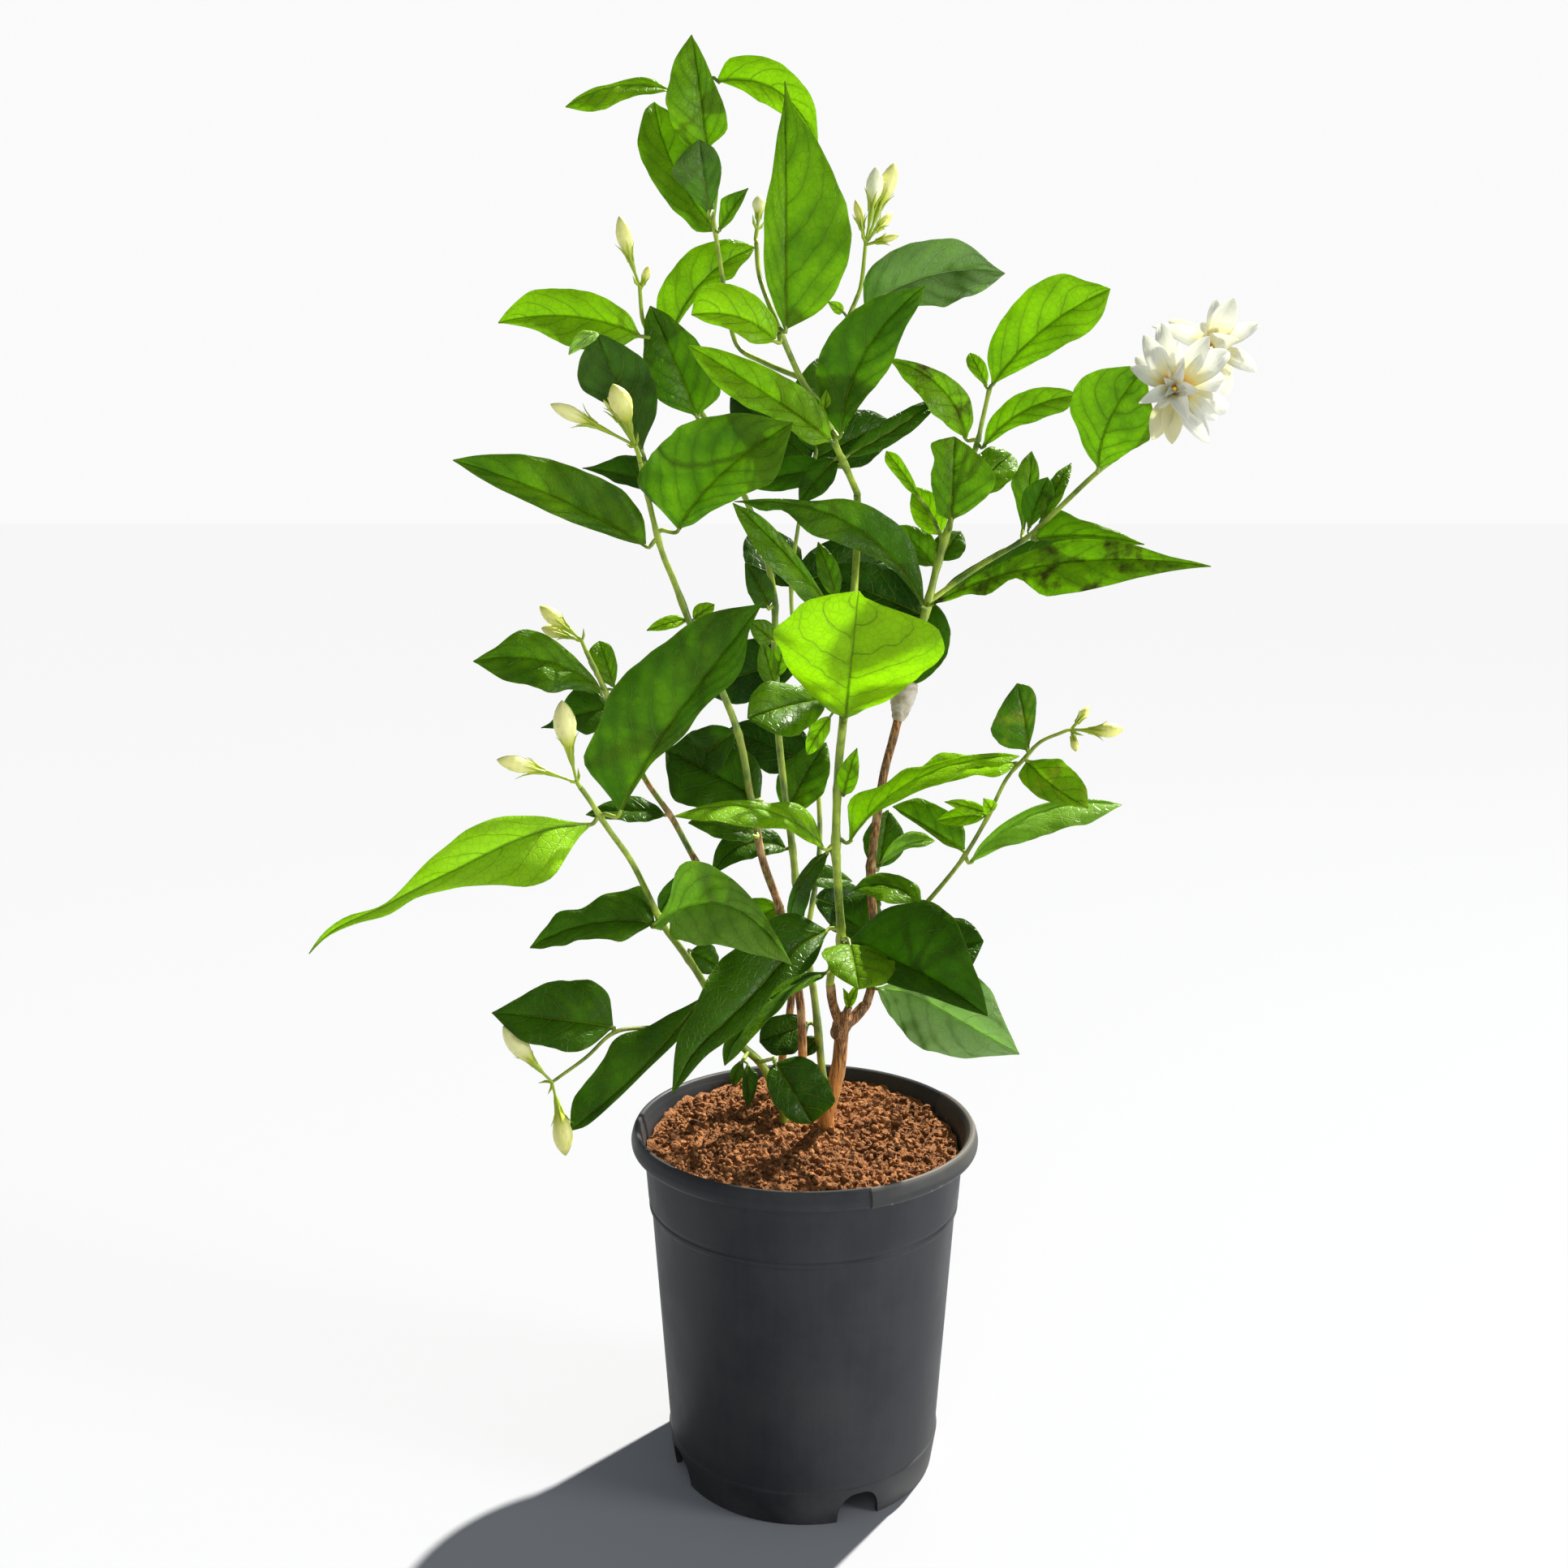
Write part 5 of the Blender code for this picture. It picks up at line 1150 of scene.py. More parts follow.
cane("left_top", [(830, 715, 15), (815, 678, 10), (800, 620, 5), (789, 570, 0)],
     (3.2, 2.2), after="left_cane", bark=(0.1, 0.0), leaves=[
    leaf((836, 652, 6), (977, 521, -34), 38, turn=8, fold=14, bend=-0.05, tone_and_light=0.47, rim=((826, 640),
         (812, 625), (802, 605), (797, 585), (799, 570), (820, 540), (852, 517), (870, 510), (915, 508),
         (955, 517), (977, 530), (974, 565), (970, 577), (955, 587), (915, 607), (895, 616), (860, 642))),
    leaf((795, 672, 6), (558, 567, -24), 25, turn=14, fold=14, bend=0.02, belly=0.45, tone_and_light=0.43,
         rim=((798, 655), (795, 643), (785, 625), (770, 608), (730, 585), (680, 566), (635, 558),
         (575, 563), (775, 668), (725, 651), (670, 630), (610, 600), (580, 583))),
    leaf((812, 598, 14), (718, 577, 30), 18, turn=25, tone_and_light=0.2, rim=((735, 574), (770, 561), (795, 562),
         (750, 588), (765, 596), (800, 606))),
    leaf((737, 411, -6), (701, 437, -9), 8, turn=40, arch=0.12, tone_and_light=0.95, painted_sheen=0.5, stalk=False),
    leaf((791, 556, 10), (735, 410, -4), 36, turn=10, fold=10, arch=0.0, belly=0.5, root=(792, 584, 2),
         tone_and_light=0.15, painted_sheen=0.05, rim=((722, 425), (714, 438), (711, 455), (713, 472), (722, 483), (752, 500),
         (772, 530), (748, 414), (785, 435), (797, 445), (810, 480), (810, 500), (805, 520), (797, 537))),
    leaf((845, 764, 22), (797, 777, 18), 7, turn=30, root=(846, 748, 19), tone_and_light=0.85),
    leaf((855, 762, 24), (880, 745, 30), 8, turn=20, root=(842, 738, 18), tone_and_light=0.8),
])

# The back cane: green, behind the others, with small shaded leaves low down and three big ones under its
# buds. It stands in the soil by itself, and its top grows on from its end.
cane("back_cane", [(1013, 1318, 46), (1002, 1218, 50), (985, 1130, 55), (977, 1050, 58), (965, 960, 58),
                   (958, 890, 56), (955, 820, 54), (955, 745, 50)], (3.8, 3.2), leaves=[
    leaf((968, 1046, 60), (878, 1078, 48), 20, turn=35, bend=0.18, tone_and_light=0.3),
    leaf((986, 1082, 62), (1050, 1086, 70), 13, turn=30, tone_and_light=0.25),
    leaf((952, 842, 52), (938, 790, 44), 11, turn=10, tone_and_light=0.4),
    leaf((958, 832, 50), (971, 780, 42), 8, turn=10, tone_and_light=0.5),
    leaf((951, 790, 50), (922, 766, 42), 12, turn=20, tone_and_light=0.4),
    leaf((946, 748, 48), (918, 694, 38), 13, turn=20, tone_and_light=0.3),
    leaf((970, 1000, 62), (1018, 915, 74), 24, turn=15, tone_and_light=0.35),
    leaf((996, 1262, 52), (936, 1284, 46), 22, turn=15, tone_and_light=0.15, rim=((985, 1249), (965, 1250),
         (945, 1255), (935, 1268), (990, 1285), (975, 1300), (955, 1302), (942, 1297))),
    leaf((1006, 1278, 50), (990, 1302, 46), 9, turn=15, tone_and_light=0.15),
])
cane("back_top", [(945, 690, 50), (925, 630, 50), (898, 570, 48), (862, 505, 42), (820, 450, 36),
                  (796, 404, 30)], (3.2, 2.2), after="back_cane", leaves=[
    leaf((788, 414, 20), (614, 398, 6), 27, turn=18, fold=14, bend=0.07, root=(803, 420, 32), tone_and_light=0.75,
         rim=((622, 388), (655, 360), (675, 356), (700, 355), (720, 358), (760, 378), (775, 390),
         (640, 402), (655, 405), (690, 425), (735, 436), (760, 433))),
    leaf((858, 512, 38), (801, 377, 26), 30, turn=12, fold=12, belly=0.45, tone_and_light=0.38, rim=((793, 395),
         (792, 445), (800, 470), (812, 492), (835, 503), (820, 385), (855, 415), (872, 440), (882, 462),
         (888, 485), (880, 500))),
    leaf((822, 425, 40), (930, 305, 52), 25, turn=14, fold=12, bend=-0.10, tone_and_light=0.7, rim=((812, 385),
         (814, 358), (825, 335), (840, 318), (858, 307), (885, 301), (915, 300), (925, 318), (910, 330),
         (903, 345), (865, 362), (845, 385))),
])

# The bud shoot, top right, behind the tallest leaf, with a glossy leaf that shows strong veins and carries a
# painted sheen. It is soft and green, grows from the side of the top cane and ends in a spray of buds.
cane("bud_shoot", [(1029, 545, 6), (1040, 480, 22), (1045, 400, 26), (1057, 364, 26)],
     (2.4, 2.0), on="top_cane", leaves=[
    leaf((1066, 379, 28), (1238, 337, 40), 29, turn=10, fold=12, bend=-0.09, root=(1049, 388, 26),
         tone_and_light=0.36, painted_sheen=0.3, rim=((1069, 345), (1080, 325), (1098, 311), (1120, 300), (1140, 296),
         (1175, 299), (1195, 308), (1215, 325), (1225, 350), (1205, 362), (1155, 381), (1100, 382))),
    leaf((1038, 384, 24), (1020, 372, 16), 5, turn=10, root=(1046, 396, 26), tone_and_light=0.85),
])

# The right cane: it grows on from the trunk's right branch, woody and brown up to the graft. Above the
# graft it goes on as a green shoot, which carries most of its leaves.
cane("right_cane", [(1077, 1200, 23), (1078, 1150, 26), (1073, 1075, 29), (1087, 965, 33), (1100, 912, 35),
                    (1106, 888, 36), (1111.5, 863, 37)],
     (4.4, 4.0), after="right_fork", bark=(1.0, 0.75), leaves=[
    leaf((1082, 1068, 34), (1094, 998, 42), 20, turn=12, tone_and_light=0.3),
    leaf((1084, 1066, 28), (1152, 1036, 22), 14, turn=40, bend=-0.08, tone_and_light=0.6, painted_sheen=0.3,
         rim=((1100, 1038), (1118, 1024), (1136, 1027), (1145, 1043), (1115, 1046), (1104, 1055))),
    leaf((1070, 1150, 32), (1024, 1122, 46), 25, turn=15, belly=0.5, tone_and_light=0.15, rim=((1100, 1125),
         (1085, 1107), (1060, 1102), (1038, 1106), (1026, 1114), (1080, 1165), (1050, 1160), (1028, 1150))),
    leaf((1084, 1188, 24), (1212, 1160, 6), 21, turn=25, tone_and_light=0.2, rim=((1110, 1150), (1150, 1135),
         (1185, 1130), (1202, 1143), (1205, 1190), (1185, 1205), (1140, 1215), (1105, 1205))),
    leaf((1082, 1218, 18), (1256, 1299, -46), 38, turn=8, fold=10, bend=-0.08, belly=0.48,
         root=(1078, 1186, 24), tone_and_light=0.46, painted_sheen=1.0, rim=((1125, 1205), (1165, 1198), (1205, 1204),
         (1225, 1220), (1241, 1262), (1249, 1280), (1080, 1225), (1105, 1255), (1140, 1290), (1160, 1303),
         (1200, 1311), (1243, 1302)), spine=((1125, 1225), (1160, 1242), (1200, 1266))),
])
cane("right_upper", [(1117, 838, 38), (1124, 812, 38.5), (1143, 745, 39), (1154, 700, 40), (1168, 652, 40)],
     (3.8, 3.2), after="right_cane", bark=(0.35, 0.0), leaves=[
    leaf((1147, 745, 34), (1492, 698, -36), 25, turn=16, fold=14, bend=-0.06, belly=0.36, tone_and_light=0.57,
         burn=0.5, rim=((1195, 728), (1260, 704), (1310, 668), (1330, 664), (1360, 664), (1392, 668),
         (1450, 689), (1472, 690), (1185, 738), (1230, 737), (1300, 735), (1350, 727), (1410, 712),
         (1470, 700))),
    leaf((1150, 738, 50), (1325, 664, 58), 23, turn=20, arch=0.02, tone_and_light=0.2, rim=((1175, 712), (1210, 690),
         (1230, 678), (1275, 664), (1300, 660), (1180, 735), (1240, 712), (1290, 688))),
    leaf((1138, 748, 34), (905, 618, 2), 37, turn=14, fold=12, bend=0.15, arch=0.02, tone_and_light=0.3,
         rim=((930, 620), (960, 623), (1005, 619), (1035, 614), (1060, 618), (1080, 628), (1100, 642),
         (1115, 660), (1125, 685), (1133, 715), (925, 632), (985, 655), (1040, 672), (1070, 683),
         (1100, 702), (1120, 724))),
    leaf((1138, 758, 46), (1006, 704, 44), 28, turn=20, fold=12, arch=0.02, tone_and_light=0.02),
    leaf((1150, 742, 50), (1114, 848, 58), 30, turn=10, tone_and_light=0.2),
    leaf((1160, 690, 46), (1184, 655, 52), 15, turn=15, tone_and_light=0.3),
    leaf((1150, 696, 46), (1104, 648, 54), 16, turn=20, tone_and_light=0.45),
    leaf((1158, 658, 46), (1126, 600, 52), 16, turn=10, tone_and_light=0.85),
    leaf((1172, 640, 31), (1176, 538, 26), 30, turn=8, belly=0.5, taper=0.55, root=(1164, 668, 40),
         tone_and_light=0.45, rim=((1155, 635), (1148, 595), (1146, 580), (1153, 567), (1143, 543), (1155, 538),
         (1195, 550), (1218, 572), (1228, 590), (1222, 605), (1190, 633))),
    leaf((1132, 612, 44), (1092, 556, 42), 11, turn=10, root=(1160, 672, 40), tone_and_light=0.78, rim=((1100, 556),
         (1109, 562), (1126, 592), (1087, 566), (1108, 592), (1119, 605))),
])

# The right top: the thin green end of the right cane, in full sun, with one leaf that scale insects have
# marked brown.
cane("right_top", [(1185, 600, 38), (1203, 550, 35), (1210, 520, 33), (1219, 480, 30)],
     (3.0, 1.9), after="right_upper", leaves=[
    leaf((1190, 540, 36), (1087, 440, 16), 21, turn=20, bend=0.12, tone_and_light=0.62, burn=0.35, rim=((1100, 447),
         (1145, 452), (1165, 460), (1180, 472), (1192, 490), (1197, 515), (1105, 460), (1135, 495),
         (1145, 508), (1175, 532))),
    leaf((1215, 476, 32), (1195, 435, 38), 9, turn=10, tone_and_light=0.72, rim=((1190, 443), (1194, 457),
         (1204, 467), (1206, 438), (1215, 449), (1219, 463))),
    leaf((1223, 474, 28), (1368, 356, 10), 31, turn=10, bend=-0.06, belly=0.5, tone_and_light=0.64, rim=((1222, 455),
         (1220, 440), (1228, 410), (1245, 378), (1275, 351), (1290, 343), (1305, 340), (1335, 350),
         (1355, 351), (1367, 367), (1364, 385), (1355, 397), (1340, 410), (1300, 433), (1260, 455),
         (1245, 462))),
    leaf((1212, 550, 32), (1330, 487, 18), 18, turn=18, bend=-0.09, tone_and_light=0.55, rim=((1216, 533),
         (1222, 515), (1250, 487), (1270, 480), (1290, 478), (1312, 480), (1320, 504), (1275, 520),
         (1255, 525), (1240, 532), (1226, 543))),
    leaf((1190, 612, 40), (1246, 560, 54), 20, turn=15, belly=0.55, tone_and_light=0.5),
])

# The flower shoot: slender and green, it grows from the side of the right cane above the graft and carries
# the two blooms far out to the right.
cane("flower_shoot", [(1146, 742, 38), (1200, 702, 38), (1250, 672, 28), (1270, 659, 18), (1305, 626, -10),
                      (1345, 588, -34), (1384, 556, -52)], (2.6, 2.0), on="right_upper", leaves=[
    leaf((1276, 664, 8), (1410, 671, -10), 15, turn=30, bend=-0.02, tone_and_light=0.55, rim=((1275, 650),
         (1283, 635), (1292, 628), (1305, 626), (1330, 641), (1360, 648), (1395, 664), (1300, 668),
         (1360, 671), (1390, 672))),
    leaf((1354, 577, -50), (1412, 452, -84), 36, turn=8, bend=-0.07, belly=0.62, tone_and_light=0.5, rim=((1347, 565),
         (1340, 550), (1332, 515), (1324, 500), (1321, 488), (1325, 475), (1335, 464), (1350, 457),
         (1390, 452), (1422, 478), (1430, 492), (1428, 510), (1422, 528), (1395, 548), (1366, 573))),
    leaf((1268, 650, 22), (1291, 588, 14), 16, turn=10, belly=0.55, tone_and_light=0.3, rim=((1262, 635), (1258, 620),
         (1261, 603), (1270, 595), (1281, 590), (1301, 600), (1299, 615), (1279, 640))),
    leaf((1260, 655, 28), (1271, 556, 34), 13, turn=14, belly=0.6, tone_and_light=0.5, rim=((1260, 568), (1244, 598),
         (1248, 608), (1279, 572), (1281, 590), (1276, 610))),
    leaf((1284, 640, 10), (1320, 571, 24), 9, turn=20, tone_and_light=0.5),
])

# The lower right shoot: thin and young, with leaves that are mottled yellow in places and three small buds
# at its tip. It grows from the side of the right cane.
cane("right_low", [(1078, 1165, 25), (1110, 1142, 12), (1140, 1114, 2), (1184, 1061, -10),
                   (1215, 1010, -18), (1240, 960, -22), (1262, 935, -24), (1282, 914, -25),
                   (1312, 901, -25)], (2.4, 1.5), on="right_cane", leaves=[
    leaf((1188, 1049, -8), (1100, 994, 4), 20, turn=15, belly=0.4, tone_and_light=0.5, rim=((1115, 987), (1130, 982),
         (1150, 990), (1185, 1010), (1190, 1025), (1188, 1042), (1110, 1003), (1150, 1030), (1165, 1042))),
    leaf((1196, 1062, -12), (1382, 992, -24), 24, turn=34, fold=14, bend=-0.10, tone_and_light=0.66, painted_sheen=0.2,
         rim=((1205, 1045), (1240, 1012), (1260, 1000), (1285, 990), (1310, 986), (1365, 987), (1365, 1003),
         (1345, 1013), (1320, 1018), (1280, 1035), (1235, 1043), (1215, 1055))),
    leaf((1214, 1004, -16), (1154, 1012, -10), 9, turn=20, tone_and_light=0.85),
    leaf((1216, 1002, -18), (1164, 988, -22), 6, turn=20, tone_and_light=0.9),
    leaf((1222, 1000, -18), (1212, 984, -26), 7, turn=10, tone_and_light=0.9),
    leaf((1266, 924, -25), (1253, 842, -30), 21, turn=10, bend=0.02, belly=0.5, taper=0.5, tone_and_light=0.4,
         mottle=0.4, rim=((1243, 852), (1230, 868), (1221, 885), (1221, 900), (1233, 914), (1250, 921),
         (1270, 845), (1277, 857), (1274, 893), (1270, 910))),
    leaf((1266, 938, -28), (1341, 996, -46), 21, turn=10, bend=0.06, belly=0.5, taper=0.5, tone_and_light=0.66,
         mottle=0.9, rim=((1280, 934), (1308, 935), (1335, 960), (1343, 975), (1258, 948), (1260, 960),
         (1267, 972), (1282, 984), (1297, 991), (1317, 993))),
    leaf((1252, 940, -20), (1122, 956, 4), 22, turn=50, bend=-0.06, tone_and_light=0.9, rim=((1130, 944), (1142, 935),
         (1157, 929), (1205, 930), (1230, 935), (1240, 957), (1215, 955), (1190, 958), (1165, 965),
         (1140, 968))),
    leaf((1134, 1112, 4), (1050, 1098, 22), 22, turn=36, bend=0.10, tone_and_light=0.45, rim=((1063, 1084),
         (1080, 1077), (1100, 1076), (1115, 1082), (1130, 1095), (1070, 1103), (1085, 1106), (1100, 1115),
         (1118, 1117))),
])

# The low cane: green, it leans out of the soil to the left and carries the long-tailed leaf and a spray of
# buds. Near its foot a shoot with a second spray and two short twigs grow from its side.
cane("low_cane", [(940, 1314, 16), (905, 1278, 8), (862, 1203, -5), (838, 1168, -12), (815, 1136, -20),
                  (780, 1065, -32), (750, 1022, -40), (726, 985, -45), (715, 970, -48)],
     (4.2, 2.2), leaves=[
    leaf((806, 1142, -26), (975, 1188, -74), 34, turn=12, fold=20, bend=-0.20, belly=0.45, tone_and_light=0.55,
         painted_sheen=0.15, rim=((825, 1138), (838, 1125), (843, 1105), (860, 1075), (873, 1065), (885, 1067),
         (900, 1075), (930, 1108), (955, 1145), (965, 1165), (815, 1157), (830, 1163), (870, 1169),
         (910, 1176), (950, 1185))),
    leaf((806, 1138, -22), (653, 1168, -34), 23, turn=16, bend=0.08, belly=0.35, tone_and_light=0.4, rim=((808, 1115),
         (795, 1097), (780, 1092), (760, 1100), (745, 1100), (733, 1107), (722, 1118), (712, 1121),
         (690, 1121), (680, 1138), (670, 1147), (795, 1145), (770, 1161), (705, 1159), (695, 1167),
         (680, 1166), (665, 1171))),
    leaf((727, 1016, -44), (381, 1175, -62), 29, turn=14, fold=16, bend=0.055, belly=0.27,
         taper=0.75, tone_and_light=0.98, painted_sheen=0.06, rim=((700, 1013), (665, 1007), (610, 1005), (575, 1022),
         (560, 1037), (530, 1060), (500, 1094), (475, 1115), (465, 1120), (437, 1124), (410, 1140),
         (390, 1160), (718, 1030), (700, 1065), (688, 1080), (672, 1088), (645, 1092), (632, 1089),
         (575, 1090), (530, 1100), (510, 1106), (488, 1125), (475, 1130), (458, 1131), (425, 1144),
         (410, 1150), (396, 1160)), spine=((700, 1015), (665, 1024), (620, 1042), (590, 1058), (550, 1078),
         (510, 1097), (480, 1115), (420, 1140), (400, 1153))),
    leaf((764, 1000, -46), (940, 742, -58), 39, turn=8, fold=12, bend=-0.04, tone_and_light=0.37, rim=((752, 975),
         (732, 953), (727, 938), (726, 920), (745, 890), (750, 872), (752, 850), (762, 835), (790, 815),
         (820, 790), (850, 767), (870, 758), (905, 748), (920, 742), (932, 750), (921, 780), (922, 800),
         (918, 820), (905, 838), (875, 862), (860, 880), (848, 900), (820, 925), (808, 932), (790, 960)),
         spine=((790, 950), (820, 900), (850, 860), (880, 820), (915, 775)), painted_sheen=0.0),
    leaf((866, 1228, 2), (703, 1393, -22), 25, turn=12, fold=10, bend=-0.05, tone_and_light=0.24, rim=((845, 1240),
         (822, 1249), (805, 1262), (790, 1268), (765, 1272), (755, 1280), (742, 1310), (730, 1325),
         (703, 1352), (700, 1372), (858, 1255), (835, 1283), (800, 1315), (760, 1355), (722, 1389))),
    leaf((852, 1172, -4), (884, 1192, 6), 14, turn=15, tone_and_light=0.3),
])
cane("low_left", [(884, 1240, 3), (850, 1262, 8), (800, 1266, 2), (757, 1272, -10), (722, 1303, -19),
                  (685, 1330, -20)], (2.2, 1.5), on="low_cane", leaves=[
    leaf((755, 1266, -10), (606, 1248, -26), 31, turn=10, fold=10, bend=0.0, belly=0.40, taper=0.5,
         tone_and_light=0.26, rim=((757, 1240), (750, 1225), (735, 1212), (720, 1206), (680, 1209), (660, 1216),
         (622, 1239), (735, 1281), (715, 1294), (700, 1296), (660, 1287), (642, 1284), (625, 1270))),
])
cane("low_twig", [(936, 1310, 14), (946, 1306, 2), (954, 1304, -6)], (2.2, 1.6), on="low_cane", leaves=[
    leaf((955, 1310, -8), (1000, 1384, -14), 31, turn=10, belly=0.55, taper=0.5, tone_and_light=0.15,
         rim=((944, 1318), (944, 1337), (952, 1357), (968, 1376), (985, 1384), (975, 1300), (992, 1303),
         (1008, 1313), (1021, 1332), (1028, 1355), (1024, 1373), (1014, 1381))),
])
cane("low_side", [(922, 1296, 12), (917, 1304, 2), (916, 1306, -4)], (2.0, 1.6), on="low_cane", leaves=[
    leaf((921, 1313, -6), (922, 1364, -10), 8, turn=10, belly=0.5, tone_and_light=0.2, rim=((915, 1322), (914, 1342),
         (917, 1356), (935, 1322), (932, 1342), (927, 1356))),
    leaf((914, 1308, -4), (903, 1337, 4), 6, turn=10, tone_and_light=0.2),
])

# The rear cane and its side shoot: shaded stems behind all the rest, with dark leaves that fill the middle.
# The cane is woody and stands in the soil by itself; the shoot grows from its side, low down.
cane("rear_cane", [(975, 1200, 62), (930, 1150, 64), (895, 1110, 64), (860, 1065, 64), (828, 1008, 60),
                   (795, 960, 54), (765, 900, 46), (745, 850, 40), (722, 802, 34)],
     (4.0, 2.2), bark=(0.9, 0.3), leaves=[
    leaf((850, 1066, 66), (812, 1128, 70), 24, turn=15, tone_and_light=0.25, rim=((840, 1073), (820, 1090),
         (810, 1105), (860, 1083), (846, 1105), (832, 1120))),
    leaf((818, 1004, 62), (722, 1004, 60), 17, turn=45, tone_and_light=0.25),
    leaf((742, 852, 38), (583, 815, 16), 26, turn=20, bend=0.10, tone_and_light=0.42, rim=((600, 805), (615, 798),
         (640, 778), (655, 775), (670, 781), (710, 815), (728, 832), (600, 830), (615, 838), (640, 842),
         (660, 850), (680, 853), (697, 849), (720, 852))),
    leaf((752, 872, 46), (667, 897, 50), 20, turn=30, tone_and_light=0.3, rim=((740, 852), (722, 845), (705, 850),
         (680, 890), (745, 895), (730, 905), (712, 895), (690, 897))),
    leaf((756, 846, 42), (738, 790, 46), 18, turn=10, tone_and_light=0.5, rim=((728, 795), (724, 815), (735, 838),
         (748, 790), (757, 803), (761, 820), (760, 835))),
    leaf((772, 904, 52), (850, 820, 70), 30, turn=15, tone_and_light=0.2),
])
cane("rear_shoot", [(971, 1208, 62), (983, 1196, 73), (998, 1130, 79), (1010, 1040, 86), (1005, 940, 92),
                    (990, 840, 96), (975, 740, 96), (985, 640, 92), (1005, 560, 86)],
     (3.0, 1.8), on="rear_cane", leaves=[
    leaf((1004, 1108, 82), (1092, 1145, 104), 28, turn=25, tone_and_light=0.08),
    leaf((1000, 940, 92), (895, 900, 112), 30, turn=20, tone_and_light=0.08),
    leaf((990, 820, 98), (1100, 790, 122), 34, turn=20, tone_and_light=0.06),
    leaf((984, 815, 96), (870, 850, 124), 34, turn=25, tone_and_light=0.06),
    leaf((980, 720, 98), (1105, 690, 118), 32, turn=20, tone_and_light=0.02),
    leaf((974, 722, 96), (925, 655, 124), 28, turn=20, tone_and_light=0.1),
    leaf((1004, 566, 88), (1100, 520, 104), 30, turn=18, tone_and_light=0.12),
    leaf((998, 566, 86), (900, 490, 108), 32, turn=18, tone_and_light=0.12),
    leaf((1006, 556, 86), (1010, 440, 96), 30, turn=10, tone_and_light=0.3),
])

# The graft: clear stretch film, wound tightly round the joint of two stems in overlapping turns. With time
# it has gone cloudy, beige and baggy.
TAPE_R = (3.1, 4.3, 5.7, 6.2, 5.5)
TAPE_END_R = 2.2
TAPE_TURNS = 6.5
TAPE_RIDGE = 0.30
TAPE_BAG = 0.6
TAPE_CREASE = 0.35
TAPE_STEPS = 56
TAPE_SIDES = 40
FILM_PALE = (0.80, 0.76, 0.64, 1.0)
FILM_BEIGE = (0.50, 0.40, 0.26, 1.0)
film, tree, shader = finish_named("graft_film")
place = place_of(tree)
crease = clouds(tree, place, 420.0, 4.0, 0.7)
cloud = clouds(tree, place, 190.0, 2.0)
skin = blended(tree, stretched(tree, cloud, 0.38, 0.66), FILM_PALE, FILM_BEIGE)
tree.links.new(skin, shader.inputs["Base Color"])
tree.links.new(stretched(tree, crease, 0.3, 0.7, 0.18, 0.42), shader.inputs["Roughness"])
roughened(tree, shader, crease, 0.7, 0.0008)
lit_through(tree, shader, skin, 0.35)
tape_low, tape_high = spot(1106, 888, 36), spot(1117, 838, 38)
tape_axis = (tape_high - tape_low).normalized()
tape_across = tape_axis.orthogonal().normalized()
tape_beside = tape_axis.cross(tape_across)
points = []
for i in range(TAPE_STEPS + 1):
    t = i / TAPE_STEPS
    at = t * (len(TAPE_R) - 1)
    k = min(int(at), len(TAPE_R) - 2)
    radius = TAPE_R[k] + (TAPE_R[k + 1] - TAPE_R[k]) * (at - k)
    closing = min(1.0, t / 0.06, (1 - t) / 0.06)
    for j in range(TAPE_SIDES):
        around = 2 * math.pi * j / TAPE_SIDES
        turn = (TAPE_TURNS * t - j / TAPE_SIDES) % 1.0
        p = tape_low.lerp(tape_high, t)
        out = tape_across * math.cos(around) + tape_beside * math.sin(around)
        at_skin = p + out * 0.005
        bag = TAPE_BAG * noise.noise(at_skin * 260.0) + TAPE_CREASE * noise.noise(at_skin * 700.0)
        ridge = TAPE_RIDGE * (1 - turn) ** 2
        full = radius + ridge + bag - 0.3
        points.append(p + out * ((TAPE_END_R + (full - TAPE_END_R) * closing ** 0.6) * MM))
tape = new_piece("graft_film", points, ring_faces(TAPE_STEPS + 1, TAPE_SIDES), [film], 50.0)
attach(tape, "root")
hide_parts("graft_tape")

# A bud: a green stalk, a cup-shaped calyx with awl-shaped teeth, a slender tube and a fat pointed bud of
# petals that are rolled round each other. It turns from green to cream and white as it grows.
CALYX_TEETH = 6
BUD_SIDES = 24
BUD_STEPS = 44
BUD_FURROWS = 4
SPRAY_SIDES = 10
BUD_GREEN = (0.30, 0.42, 0.012, 1.0)
BUD_LIME = (0.54, 0.58, 0.055, 1.0)
BUD_CREAM = (0.84, 0.83, 0.23, 1.0)
BUD_WHITE = (0.90, 0.90, 0.62, 1.0)
BUD_FURROW_DARK = (0.55, 0.50, 0.12, 1.0)
bud_skin, tree, shader = finish_named("bud_skin")
ripe, seam, white = remembered(tree, "bud")
cloud = clouds(tree, place_of(tree), 260.0, 3.0)
skin = ramp_of(tree, ripe, ((0.0, BUD_GREEN), (0.34, BUD_GREEN), (0.46, BUD_LIME), (0.66, BUD_CREAM),
                            (0.9, BUD_CREAM), (1.0, BUD_LIME)))
skin = blended(tree, times(tree, white, stretched(tree, ripe, 0.45, 0.6)), skin, BUD_WHITE)
